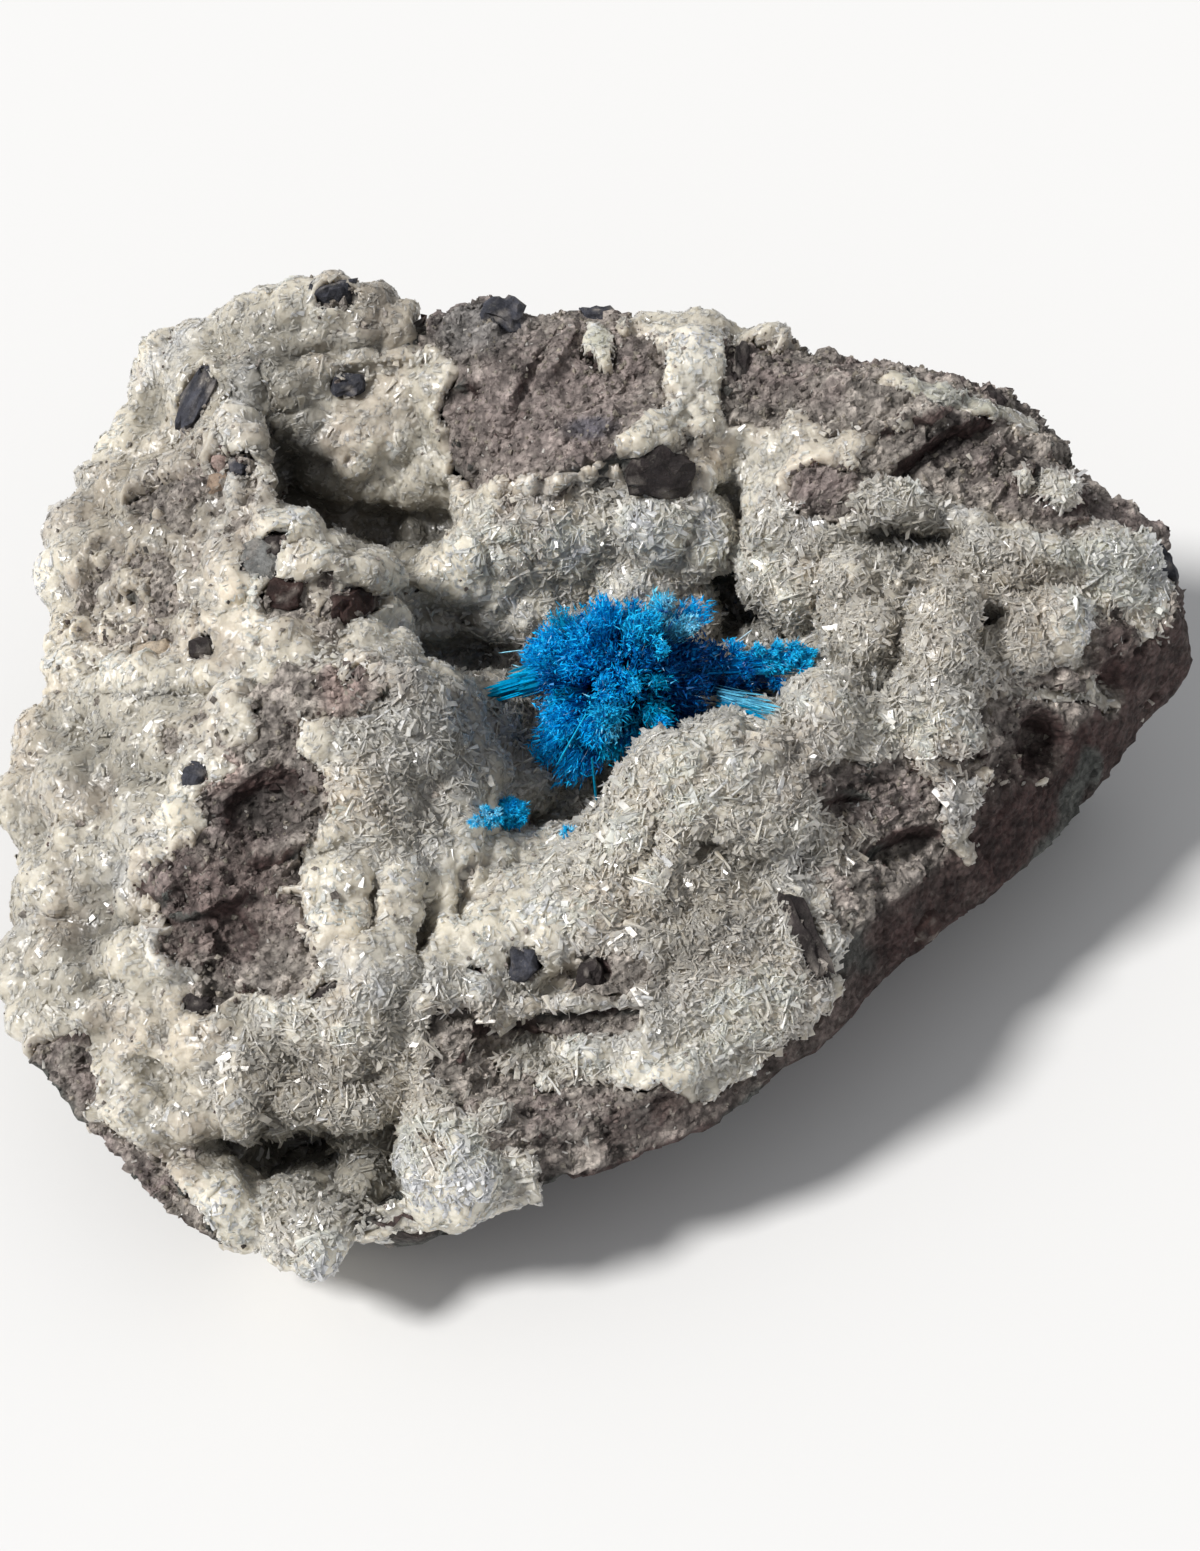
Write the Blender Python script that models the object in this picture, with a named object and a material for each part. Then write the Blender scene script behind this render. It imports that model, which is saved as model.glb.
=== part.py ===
"""Cavansite on stilbite and basalt, a mineral specimen 81 mm wide that lies on its cut-flat base.

The stone is modelled as a relief: a rim, spot heights inside it, a few named lumps and pits,
and sides that narrow to the base. The stilbite is a crust of pointed facets on most of that
relief, and the cavansite is three spiky growths in the middle hollow.
+X is to the right, +Y to the back and +Z up. Lengths are in millimetres until a mesh is made.
"""

import math
import random

import bmesh
import bpy
import numpy as np
from mathutils import Vector, geometry, noise

MM = 0.001
GRID_SPACING = 2.3
RIM_INSET = 2.0
TOUCH_GAP = 0.3

# The base is the rim's outline drawn in, and moved back because the front is cut away below.
BASE_SCALE_X = 0.82
BASE_SCALE_Y = 0.70
BASE_SHIFT_Y = 1.5
SIDE_LEVELS = (0.25, 0.5, 0.75)
SIDE_ROUGHNESS = 1.2

# Depth of the crust, and how far its crystal points stand above the spot heights.
CRUST_DEPTH = 2.0
CRUST_EDGE_DEPTH = 1.2
CRUST_RIM_DEPTH = 0.9
CRYSTAL_LOW = 0.4
CRYSTAL_HIGH = 1.2
CRYSTAL_STEEPEST = 1.5

BASALT_ROUGHNESS = 0.9
SURFACE_SOFTNESS = 1.6
JITTER = 0.22

# Cavansite: centre, half widths of the body, and how far its blades stand out.
BLADE_SHARE = 0.72
ROSETTE_CENTRE = (1.2, 3.0, 20.0)
ROSETTE_BODY = (4.9, 4.6, 4.7)
ROSETTE_BLADES = (1.5, 2.8)
SMALL_ROSETTE_CENTRE = (-6.4, -6.0, 18.9)
SMALL_ROSETTE_BODY = (1.9, 1.1, 1.1)
SMALL_ROSETTE_BLADES = (0.4, 0.9)
TUFT_CENTRE = (-2.2, -8.0, 18.9)
TUFT_BODY = (0.6, 0.5, 0.5)
TUFT_BLADES = (0.25, 0.45)

# The rim, counterclockwise from the right end:
# x, y, height, rise just inside it, and whether the druse reaches it.
RIM = [
    (41.0, 10.5, 13.0, 6.0, False),
    (40.5, 14.0, 16.0, 4.0, False),
    (39.0, 17.0, 19.0, 2.5, False),
    (34.5, 19.0, 22.0, 2.0, False),
    (30.5, 23.5, 24.5, 1.5, False),
    (27.5, 25.0, 26.0, 1.0, False),
    (20.5, 26.0, 27.0, 1.0, False),
    (15.0, 26.5, 28.0, 1.0, False),
    (11.0, 27.5, 29.0, 0.8, True),
    (7.0, 28.0, 30.0, 0.8, True),
    (3.5, 28.5, 29.0, 0.6, False),
    (-0.5, 29.5, 29.5, 0.6, False),
    (-4.0, 29.0, 29.0, 0.6, False),
    (-9.0, 30.0, 30.0, 1.0, False),
    (-12.0, 29.5, 28.0, 0.6, True),
    (-17.5, 32.0, 29.0, 0.8, True),
    (-24.5, 32.0, 27.0, 0.8, True),
    (-29.5, 31.0, 25.0, 0.8, True),
    (-33.0, 29.5, 22.5, 1.0, True),
    (-34.0, 25.0, 21.5, 1.0, True),
    (-37.0, 19.0, 19.5, 1.2, True),
    (-37.5, 12.5, 18.5, 1.2, True),
    (-36.5, 6.0, 18.0, 1.2, True),
    (-39.0, 0.5, 15.5, 1.5, True),
    (-39.5, -3.0, 15.0, 1.5, True),
    (-38.0, -7.5, 14.0, 1.5, True),
    (-38.5, -11.5, 12.5, 1.5, True),
    (-38.5, -16.5, 11.5, 1.5, True),
    (-36.5, -21.0, 11.0, 1.5, False),
    (-33.5, -24.5, 10.0, 1.5, False),
    (-28.5, -30.0, 8.5, 1.2, False),
    (-23.5, -33.5, 8.0, 1.0, False),
    (-18.5, -35.0, 8.0, 1.2, True),
    (-15.5, -34.0, 9.0, 0.8, True),
    (-8.5, -33.0, 10.0, 1.5, True),
    (-3.5, -30.5, 10.0, 2.5, False),
    (1.5, -29.0, 10.5, 3.0, False),
    (6.5, -26.5, 11.0, 4.0, False),
    (11.5, -23.0, 11.5, 4.5, False),
    (14.5, -20.5, 11.5, 4.8, False),
    (19.5, -14.0, 11.0, 5.0, False),
    (25.0, -8.5, 10.5, 5.5, False),
    (31.0, -2.0, 10.0, 6.0, False),
    (36.0, 4.5, 11.0, 6.5, False),
    (38.5, 8.0, 12.0, 7.0, False),
]

# Spot heights of the top: x, y, height.
MIDDLE_HOLLOW = [
    (3.0, 6.5, 12.5),
    (2.0, -1.5, 12.8),
    (-3.0, 4.5, 13.8),
    (-3.5, -1.5, 14.0),
    (11.0, 6.0, 14.0),
    (3.0, 10.0, 14.5),
    (0.0, 11.8, 17.5),
    (-4.5, 10.5, 17.0),
    (14.5, 6.5, 17.0),
    (12.0, 2.0, 16.5),
    (-6.3, -5.6, 15.0),
    (-2.4, -7.4, 15.0),
    (-5.0, -10.0, 17.0),
]
BACK_WALL = [
    (-5.5, 15.0, 25.5),
    (0.0, 15.0, 27.5),
    (5.0, 15.0, 28.5),
    (4.0, 12.5, 22.5),
    (9.0, 12.5, 18.5),
    (8.8, 17.5, 25.5),
    (13.0, 14.5, 28.0),
    (12.5, 10.5, 22.0),
]
BACK_SLOPE = [
    (-17.0, 28.5, 30.0),
    (-24.0, 28.5, 28.0),
    (-12.0, 27.0, 28.2),
    (-8.5, 28.0, 31.3),
    (-7.5, 23.5, 30.0),
    (-2.5, 20.5, 29.0),
    (3.0, 20.5, 29.5),
    (7.0, 22.0, 30.6),
    (0.0, 26.0, 29.6),
    (14.0, 21.5, 30.4),
    (20.5, 23.0, 29.4),
]
BACK_LEFT_HOLLOW = [
    (-16.0, 16.0, 17.5),
    (-11.0, 15.8, 19.5),
    (-19.0, 18.5, 19.5),
    (-16.0, 21.5, 22.5),
    (-12.5, 21.5, 24.0),
    (-8.0, 18.5, 25.5),
    (-15.5, 26.0, 28.5),
    (-20.5, 24.0, 27.0),
    (-11.5, 12.3, 21.5),
    (-7.5, 13.0, 23.0),
]
LEFT_RIDGE = [
    (-27.5, 25.0, 26.5),
    (-23.0, 18.0, 27.6),
    (-21.5, 12.0, 27.3),
    (-19.5, 8.5, 26.6),
    (-16.0, 8.5, 25.2),
    (-24.0, 6.5, 25.6),
    (-30.0, 8.5, 22.2),
    (-30.0, 17.5, 23.6),
    (-32.5, 24.0, 22.8),
    (-29.5, 1.5, 22.5),
    (-33.5, 5.5, 20.0),
]
CHANNEL = [
    (-11.5, 8.5, 17.0),
    (-7.0, 8.0, 15.5),
    (-12.5, 5.5, 19.0),
]
LEFT_BLUFF = [
    (-17.0, -3.0, 26.8),
    (-13.5, -0.5, 26.2),
    (-10.0, -3.0, 24.8),
    (-7.0, -1.0, 18.5),
    (-11.0, -8.5, 21.0),
    (-16.5, 2.5, 25.5),
]
LEFT_BASALT = [
    (-23.0, -6.5, 24.6),
    (-21.5, -0.5, 25.4),
    (-22.0, -10.5, 21.4),
    (-25.5, -13.0, 21.4),
    (-23.5, -18.0, 18.4),
    (-18.0, -12.5, 21.2),
]
LEFT_LOBES = [
    (-35.5, -2.0, 18.4),
    (-31.0, -3.5, 21.2),
    (-32.5, -9.5, 17.8),
    (-28.5, -9.0, 21.0),
    (-33.0, -13.0, 14.6),
    (-35.0, -17.0, 14.6),
    (-30.5, -17.5, 16.6),
    (-29.0, -22.0, 13.8),
    (-26.0, -26.5, 11.4),
]
FRONT_LEFT = [
    (-12.5, -13.5, 20.6),
    (-9.5, -15.0, 18.0),
    (-17.0, -17.0, 19.6),
    (-17.5, -21.0, 18.4),
    (-15.5, -24.0, 15.8),
    (-21.5, -23.5, 14.0),
    (-19.5, -27.0, 7.0),
    (-14.5, -27.0, 7.6),
    (-17.5, -31.5, 9.6),
    (-12.0, -30.5, 9.4),
    (-8.5, -28.5, 13.0),
]
FRONT_LOBE = [
    (6.5, -5.5, 27.2),
    (13.0, -3.0, 26.6),
    (3.2, -8.5, 24.8),
    (-0.5, -11.5, 20.6),
    (7.5, -0.5, 18.5),
    (8.0, -11.0, 22.0),
]
FRONT_BAND = [
    (0.0, -17.0, 18.6),
    (-4.5, -14.5, 18.6),
    (6.0, -17.0, 18.8),
    (11.0, -15.0, 18.6),
    (9.0, -20.0, 16.8),
    (3.5, -23.0, 15.6),
    (-8.5, -20.0, 17.2),
    (-5.0, -22.5, 14.8),
    (-9.0, -24.0, 14.4),
    (-1.0, -25.0, 13.8),
]
RIGHT_SIDE = [
    (17.5, 7.0, 26.2),
    (16.5, -1.0, 24.2),
    (16.0, -7.0, 20.8),
    (20.0, -4.0, 20.8),
    (20.0, -9.0, 17.4),
    (16.5, -12.5, 17.2),
    (24.0, -4.5, 19.6),
    (25.0, 1.0, 21.4),
    (22.0, 6.0, 24.4),
    (26.5, 6.5, 22.8),
    (20.5, 10.2, 25.4),
    (28.0, 13.0, 25.6),
    (31.5, 10.0, 23.6),
    (30.0, -1.0, 16.8),
    (30.0, 3.0, 20.2),
    (33.5, 6.5, 20.6),
    (36.0, 12.5, 22.2),
    (33.0, 16.5, 24.6),
    (22.0, 17.5, 30.2),
    (20.0, 14.5, 28.0),
    (27.0, 19.5, 28.2),
]
SPOT_HEIGHTS = (
    MIDDLE_HOLLOW + BACK_WALL + BACK_SLOPE + BACK_LEFT_HOLLOW + LEFT_RIDGE + CHANNEL
    + LEFT_BLUFF + LEFT_BASALT + LEFT_LOBES + FRONT_LEFT + FRONT_LOBE + FRONT_BAND + RIGHT_SIDE
)

# Lumps and pits of the top: x, y, half length, half width, turn in degrees, height.
FORMS = {
    "bar nodule on the right": (20.0, 12.4, 3.0, 1.4, 0, 1.8),
    "nodule at the front": (-9.0, -29.0, 4.0, 3.0, 0, 1.4),
    "nodule at the bottom": (-17.5, -32.2, 3.2, 2.0, 10, 1.2),
    "dark lump of the back slope": (4.0, 12.8, 2.4, 1.5, -10, 0.9),
    "dark lump of the left ridge": (-29.0, 25.5, 1.3, 2.8, -25, 1.0),
    "dark lumps of the left plateau": (-22.5, 9.0, 2.0, 2.2, 0, 0.9),
    "dark lump of the saddle": (-17.0, 6.6, 2.4, 1.2, 15, 0.9),
    "long lump of the front rim": (13.5, -15.0, 1.2, 3.2, -25, 1.0),
    "pale lump of the left plateau": (-24.5, 6.6, 1.6, 1.4, 0, 0.7),
    "pit of the left shelf": (-33.0, 6.0, 1.8, 1.4, 0, -1.4),
    "round hollow at the back left": (-31.0, 22.0, 1.8, 2.6, 0, -1.2),
    "crevice of the left basalt": (-22.5, -9.5, 3.4, 1.4, 35, -1.4),
    "second crevice of the left basalt": (-23.5, -17.5, 2.0, 2.6, 0, -1.2),
    "pocket of the front basalt": (-4.5, -22.5, 3.2, 1.6, -10, -1.6),
    "pocket of the right basalt": (20.5, -9.0, 3.0, 1.6, 0, -1.4),
    "hollow in the right flank": (30.5, -0.5, 2.0, 2.0, 0, -1.4),
    "recess of the right slope": (18.5, 1.5, 2.0, 1.2, 0, -1.0),
    "hollow below the bar nodule": (20.8, 9.8, 3.4, 1.3, 0, -1.8),
    "step of the right ledge": (24.0, 14.8, 6.0, 1.2, 28, -1.2),
}

# Stretches of bare basalt: x, y, half length, half width, turn in degrees.
BARE_PATCHES = {
    "back knob": (-8.0, 28.0, 5.0, 3.6, 0),
    "back slope": (-2.0, 23.0, 7.6, 5.6, 0),
    "back slope, right of the pale strip": (15.5, 22.0, 6.4, 4.6, -10),
    "right ledge": (25.0, 18.5, 9.0, 4.4, -22),
    "right end": (36.0, 15.0, 5.0, 3.0, -25),
    "dark lump of the back slope": (4.0, 12.9, 2.6, 1.9, -10),
    "left basalt": (-22.0, -11.0, 6.2, 6.2, 10),
    "left basalt, back part": (-20.0, -3.0, 4.8, 3.4, 30),
    "front basalt": (-7.0, -22.5, 4.8, 4.0, -20),
    "front basalt, lower part": (-0.5, -26.5, 6.5, 2.4, 15),
    "right basalt": (20.5, -10.0, 4.6, 4.2, 30),
    "right flank": (32.0, 0.5, 5.0, 3.4, 45),
}

COLOURS = {
    "basalt_matrix": ((0.13, 0.10, 0.095), 0.85),
    "stilbite_crust": ((0.55, 0.52, 0.45), 0.40),
    "cavansite_cluster": ((0.005, 0.17, 0.42), 0.35),
    "cavansite_small_rosette": ((0.01, 0.22, 0.48), 0.35),
    "cavansite_tuft": ((0.02, 0.28, 0.50), 0.35),
}


def clear_scene():
    for obj in list(bpy.data.objects):
        bpy.data.objects.remove(obj, do_unlink=True)


def spline_point(before, start, end, after, share):
    """A point of the Catmull-Rom curve between start and end."""
    square = share * share
    cube = square * share
    return 0.5 * (
        2 * start
        + (end - before) * share
        + (2 * before - 5 * start + 4 * end - after) * square
        + (3 * start - before - 3 * end + after) * cube
    )


def rim_curve():
    """The rim about every GRID_SPACING: places, heights, rises, and whether it is coated."""
    fine_steps = 12
    corners = np.array([point[:2] for point in RIM])
    count = len(RIM)
    fine = []
    for i in range(count):
        four = [corners[(i + k) % count] for k in (-1, 0, 1, 2)]
        for step in range(fine_steps):
            fine.append((spline_point(*four, step / fine_steps), i + step / fine_steps))
    fine.append((corners[0], float(count)))
    places = np.array([place for place, _ in fine])
    order = np.array([along for _, along in fine])
    travelled = np.concatenate([[0], np.cumsum(np.linalg.norm(np.diff(places, axis=0), axis=1))])
    samples = int(round(travelled[-1] / GRID_SPACING))
    wanted = np.arange(samples) * travelled[-1] / samples
    rim_xy = np.stack([np.interp(wanted, travelled, places[:, k]) for k in (0, 1)], axis=1)
    along = np.interp(wanted, travelled, order)
    closed = RIM + [RIM[0]]
    heights = np.interp(along, range(count + 1), [point[2] for point in closed])
    rises = np.interp(along, range(count + 1), [point[3] for point in closed])
    coated = np.array([closed[int(round(where))][4] for where in along])
    return rim_xy, heights, rises, coated


class Relief:
    """The height of the stone's top, a smooth sheet through the rim and the spot heights."""

    def __init__(self, ring_xy, ring_heights):
        spots = np.array(SPOT_HEIGHTS)
        self.places = np.concatenate([spots[:, :2], ring_xy])
        heights = np.concatenate([spots[:, 2], ring_heights])
        count = len(self.places)
        matrix = np.zeros((count + 3, count + 3))
        matrix[:count, :count] = self.kernel(self.places)
        matrix[:count, count:] = self.plane(self.places)
        matrix[count:, :count] = matrix[:count, count:].T
        self.weights = np.linalg.solve(matrix, np.concatenate([heights, np.zeros(3)]))

    def kernel(self, points):
        gaps = points[:, None, :] - self.places[None, :, :]
        return np.sqrt((gaps**2).sum(axis=2) + SURFACE_SOFTNESS**2)

    def plane(self, points):
        return np.column_stack([np.ones(len(points)), points / GRID_SPACING])

    def heights(self, points):
        points = np.atleast_2d(np.asarray(points, float))
        found = np.hstack([self.kernel(points), self.plane(points)]) @ self.weights
        for x, y, half_length, half_width, turn, height in FORMS.values():
            away = ellipse_distance(points, x, y, half_length, half_width, turn)
            found += height * np.exp(-(away**2))
        return found

    def height(self, x, y):
        return float(self.heights([(x, y)])[0])


def ellipse_distance(points, x, y, half_length, half_width, turn):
    """Distance from an ellipse's centre, 1 on the ellipse itself."""
    angle = math.radians(turn)
    off_x = points[:, 0] - x
    off_y = points[:, 1] - y
    along = (off_x * math.cos(angle) + off_y * math.sin(angle)) / half_length
    across = (off_y * math.cos(angle) - off_x * math.sin(angle)) / half_width
    return np.hypot(along, across)


def inner_grid(ring_xy, dice):
    """A jittered triangular grid of points inside the ring."""
    angles = np.arctan2(ring_xy[:, 1], ring_xy[:, 0])
    order = np.argsort(angles)
    radii = np.linalg.norm(ring_xy, axis=1)
    row_step = GRID_SPACING * math.sqrt(3) / 2
    reach = np.abs(ring_xy).max()
    rows = int(reach / row_step)
    columns = int(reach / GRID_SPACING)
    points = []
    for row in range(-rows, rows + 1):
        for column in range(-columns, columns + 1):
            x = (column + 0.5 * (row % 2) + dice.uniform(-JITTER, JITTER)) * GRID_SPACING
            y = row * row_step + dice.uniform(-JITTER, JITTER) * GRID_SPACING
            edge = np.interp(math.atan2(y, x), angles[order], radii[order], period=2 * math.pi)
            if math.hypot(x, y) < edge - 0.65 * GRID_SPACING:
                points.append((x, y))
    return points


def triangulate_top(rim_xy, ring_xy, grid):
    """Triangles of the top seen from above, with the number of the rim point at each corner."""
    points = [Vector(point) for point in (*rim_xy, *ring_xy, *grid)]
    rim_face = [list(range(len(rim_xy)))]
    found, _, faces, sources, _, _ = geometry.delaunay_2d_cdt(points, [], rim_face, 1, 1e-6)
    places = np.array([tuple(point) for point in found])
    rim_number = np.array([source[0] if source[0] < len(rim_xy) else -1 for source in sources])
    triangles = []
    for a, b, c in faces:
        turn = np.cross(places[b] - places[a], places[c] - places[a])
        triangles.append((a, b, c) if turn > 0 else (a, c, b))
    return places, triangles, rim_number


def coated_triangles(places, triangles, rim_number, rim_coated):
    """Numbers of the triangles that the druse covers, as one piece with clean edges."""
    middles = np.array([places[list(corners)].mean(axis=0) for corners in triangles])
    wobble = np.array([noise.noise(Vector((x, y, 0)) * 0.35) for x, y in middles])
    bare = np.zeros(len(triangles), bool)
    for x, y, half_length, half_width, turn in BARE_PATCHES.values():
        bare |= ellipse_distance(middles, x, y, half_length, half_width, turn) + 0.3 * wobble < 1
    for number, corners in enumerate(triangles):
        on_rim = [rim_number[corner] for corner in corners if rim_number[corner] >= 0]
        if on_rim and not all(rim_coated[k] for k in on_rim):
            bare[number] = True
    kept = set(np.nonzero(~bare)[0].tolist())
    while True:
        kept = largest_group(kept, triangles)
        pinched = pinch_triangles(kept, triangles)
        if not pinched:
            return kept
        kept -= pinched


def edge_owners(kept, triangles):
    owners = {}
    for number in sorted(kept):
        corners = triangles[number]
        for k in range(3):
            edge = (corners[k], corners[(k + 1) % 3])
            owners.setdefault(tuple(sorted(edge)), []).append((number, edge))
    return owners


def largest_group(kept, triangles):
    neighbours = {number: set() for number in kept}
    for sharing in edge_owners(kept, triangles).values():
        if len(sharing) == 2:
            neighbours[sharing[0][0]].add(sharing[1][0])
            neighbours[sharing[1][0]].add(sharing[0][0])
    best = set()
    left = set(kept)
    while left:
        group = {min(left)}
        front = list(group)
        while front:
            for other in neighbours[front.pop()] - group:
                group.add(other)
                front.append(other)
        left -= group
        best = max(best, group, key=len)
    return best


def pinch_triangles(kept, triangles):
    """Triangles at a corner where the coat touches itself at one point only."""
    border = {}
    for edge, sharing in edge_owners(kept, triangles).items():
        if len(sharing) == 1:
            for corner in edge:
                border[corner] = border.get(corner, 0) + 1
    tight = {corner for corner, count in border.items() if count > 2}
    return {number for number in kept if tight & set(triangles[number])}


def new_object(name, mesh_maker, shift):
    """An object from a bmesh in millimetres, moved by shift and scaled to metres."""
    mesh = bpy.data.meshes.new(name)
    bmesh.ops.translate(mesh_maker, verts=mesh_maker.verts, vec=shift)
    bmesh.ops.scale(mesh_maker, verts=mesh_maker.verts, vec=(MM, MM, MM))
    bmesh.ops.triangulate(mesh_maker, faces=mesh_maker.faces)
    mesh_maker.to_mesh(mesh)
    mesh_maker.free()
    mesh.materials.append(finish(name))
    obj = bpy.data.objects.new(name, mesh)
    bpy.context.scene.collection.objects.link(obj)
    return obj


def finish(name):
    colour, roughness = COLOURS[name]
    material = bpy.data.materials.new(name)
    material.use_nodes = True
    shader = material.node_tree.nodes["Principled BSDF"]
    shader.inputs["Base Color"].default_value = (*colour, 1.0)
    shader.inputs["Roughness"].default_value = roughness
    return material


def make_basalt(places, triangles, rim_number, heights, shift):
    """The stone: its top, sides in rough rings, and one flat face to rest on."""
    maker = bmesh.new()
    top = [maker.verts.new((x, y, z)) for (x, y), z in zip(places, heights)]
    for corners in triangles:
        maker.faces.new([top[corner] for corner in corners])
    rim = [int(np.nonzero(rim_number == k)[0][0]) for k in range(rim_number.max() + 1)]
    above = [top[number] for number in rim]
    for level in (*SIDE_LEVELS, 1.0):
        ring = []
        for number in rim:
            x, y = places[number]
            base = Vector((BASE_SCALE_X * x, BASE_SCALE_Y * y + BASE_SHIFT_Y, 0))
            point = Vector((x, y, heights[number])).lerp(base, level)
            if level < 1:
                rough = SIDE_ROUGHNESS * noise.noise_vector(point * 0.17)
                point += Vector((rough.x, rough.y, rough.z))
            ring.append(maker.verts.new(point))
        for k in range(len(rim)):
            after = (k + 1) % len(rim)
            maker.faces.new((above[k], ring[k], ring[after]))
            maker.faces.new((above[k], ring[after], above[after]))
        above = ring
    maker.faces.new(list(reversed(above)))
    return new_object("basalt_matrix", maker, shift)


def make_crust(places, triangles, kept, lower, upper, dice, shift):
    """The druse: a closed sheet on the stone, with one crystal point on each triangle."""
    maker = bmesh.new()
    used = sorted({corner for number in kept for corner in triangles[number]})
    under = {i: maker.verts.new((*places[i], lower[i])) for i in used}
    over = {i: maker.verts.new((*places[i], upper[i])) for i in used}
    for number in sorted(kept):
        a, b, c = triangles[number]
        maker.faces.new((under[a], under[c], under[b]))
        corners = [over[a].co, over[b].co, over[c].co]
        slope = (corners[1] - corners[0]).cross(corners[2] - corners[0]).normalized()
        lift = dice.uniform(CRYSTAL_LOW, CRYSTAL_HIGH) / max(slope.z, 1 / CRYSTAL_STEEPEST)
        shares = [dice.uniform(0.6, 1.4) for _ in corners]
        tip = sum((share * corner for share, corner in zip(shares, corners)), Vector()) / sum(shares)
        point = maker.verts.new(tip + Vector((0, 0, lift)))
        for first, second in ((a, b), (b, c), (c, a)):
            maker.faces.new((over[first], over[second], point))
    for sharing in edge_owners(kept, triangles).values():
        if len(sharing) == 1:
            first, second = sharing[0][1]
            maker.faces.new((over[second], over[first], under[first], under[second]))
    return new_object("stilbite_crust", maker, shift)


def is_clear(point, relief):
    """Whether a point stays above the crust's crystals, and beside those of a wall."""
    around = [(point.x + x, point.y + y) for x, y in ((0, 0), (1, 0), (-1, 0), (0, 1), (0, -1))]
    return point.z > relief.heights(around).max() + CRYSTAL_HIGH + TOUCH_GAP


def grow_blade(maker, face, tip_centre, taper):
    """Draws a face out into a narrow blade that ends at tip_centre."""
    middle = face.calc_center_median()
    grown = bmesh.ops.extrude_discrete_faces(maker, faces=[face])["faces"][0]
    for vert in grown.verts:
        vert.co = tip_centre + (vert.co - middle) * taper


def spiky_body(centre, half_widths, fineness, blades, bundles, relief, dice):
    """A lumpy body whose faces are drawn out into blades, with longer bundles one way."""
    maker = bmesh.new()
    bmesh.ops.create_icosphere(maker, subdivisions=fineness, radius=1.0)
    centre = Vector(centre)
    for vert in maker.verts:
        swell = 1 + 0.16 * noise.noise(vert.co * 2.3)
        place = Vector(half * swell * part for half, part in zip(half_widths, vert.co))
        while not is_clear(centre + place, relief) and place.length > 0.3:
            place *= 0.9
        vert.co = centre + place
    for face in list(maker.faces):
        outward = face.normal.copy()
        middle = face.calc_center_median()
        length = dice.uniform(*blades)
        taper = 0.22
        for direction, spread, bundle_length in bundles:
            if outward.angle(Vector(direction)) < math.radians(spread):
                outward = Vector(direction).normalized()
                length = bundle_length * dice.uniform(0.75, 1.0)
                taper = 0.45
        while length > blades[0] and not is_clear(middle + outward * length, relief):
            length -= 0.25
        if is_clear(middle + outward * length, relief) and dice.random() < BLADE_SHARE:
            grow_blade(maker, face, middle + outward * length, taper)
    return maker


def make_cavansite(relief, dice, shift):
    arm_right = ((0.97, 0.30, -0.10), 30, 9.0)
    wedge_left = ((-1.0, -0.02, -0.10), 17, 5.0)
    tuft_back = ((0.70, 0.62, 0.35), 17, 4.6)
    bundles = [arm_right, wedge_left, tuft_back]
    main = spiky_body(ROSETTE_CENTRE, ROSETTE_BODY, 3, ROSETTE_BLADES, bundles, relief, dice)
    new_object("cavansite_cluster", main, shift)
    small = spiky_body(
        SMALL_ROSETTE_CENTRE, SMALL_ROSETTE_BODY, 2, SMALL_ROSETTE_BLADES, [], relief, dice
    )
    new_object("cavansite_small_rosette", small, shift)
    tuft = spiky_body(TUFT_CENTRE, TUFT_BODY, 1, TUFT_BLADES, [], relief, dice)
    new_object("cavansite_tuft", tuft, shift)


def main():
    clear_scene()
    dice = random.Random(4)
    rim_xy, rim_heights, rises, rim_coated = rim_curve()
    inward = 1 - RIM_INSET / np.linalg.norm(rim_xy, axis=1)
    ring_xy = rim_xy * inward[:, None]
    relief = Relief(ring_xy, rim_heights + rises)
    grid = inner_grid(ring_xy, dice)
    places, triangles, rim_number = triangulate_top(rim_xy, ring_xy, grid)
    kept = coated_triangles(places, triangles, rim_number, rim_coated)

    surface = relief.heights(places)
    on_rim = rim_number >= 0
    surface[on_rim] = rim_heights[rim_number[on_rim]]
    covered = np.zeros(len(places), bool)
    border = np.zeros(len(places), bool)
    for edge, sharing in edge_owners(kept, triangles).items():
        covered[list(edge)] = True
        if len(sharing) == 1:
            border[list(edge)] = True
    depth = np.where(border, CRUST_EDGE_DEPTH, np.where(covered, CRUST_DEPTH, 0.0))
    depth[border & on_rim] = CRUST_RIM_DEPTH
    rough = [BASALT_ROUGHNESS * noise.noise(Vector((x, y, 9)) * 0.45) for x, y in places]
    stone = surface - depth + np.where(covered | on_rim, 0.0, rough)

    low = rim_xy.min(axis=0)
    high = rim_xy.max(axis=0)
    shift = Vector((*(-(low + high) / 2), 0))
    make_basalt(places, triangles, rim_number, stone, shift)
    make_crust(places, triangles, kept, stone + TOUCH_GAP, surface, dice, shift)
    make_cavansite(relief, dice, shift)


main()
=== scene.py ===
"""The looks of a cavansite specimen: blue rosettes in a druse of stilbite on broken basalt.

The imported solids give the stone's form. A fine surface is built on that form, the druse is
grown on it as many thousands of small blades, and the rosettes are sprays of thin blades.
Places seen in the photograph are given as its pixels and found on the stone by lines of sight.
Lengths are in millimetres until a mesh is made. +X is to the right, +Y to the back, +Z up.
"""

import itertools
import math

import bmesh
import bpy
import numpy as np
from mathutils import Matrix, Vector
from mathutils.bvhtree import BVHTree
from mathutils.kdtree import KDTree


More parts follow.
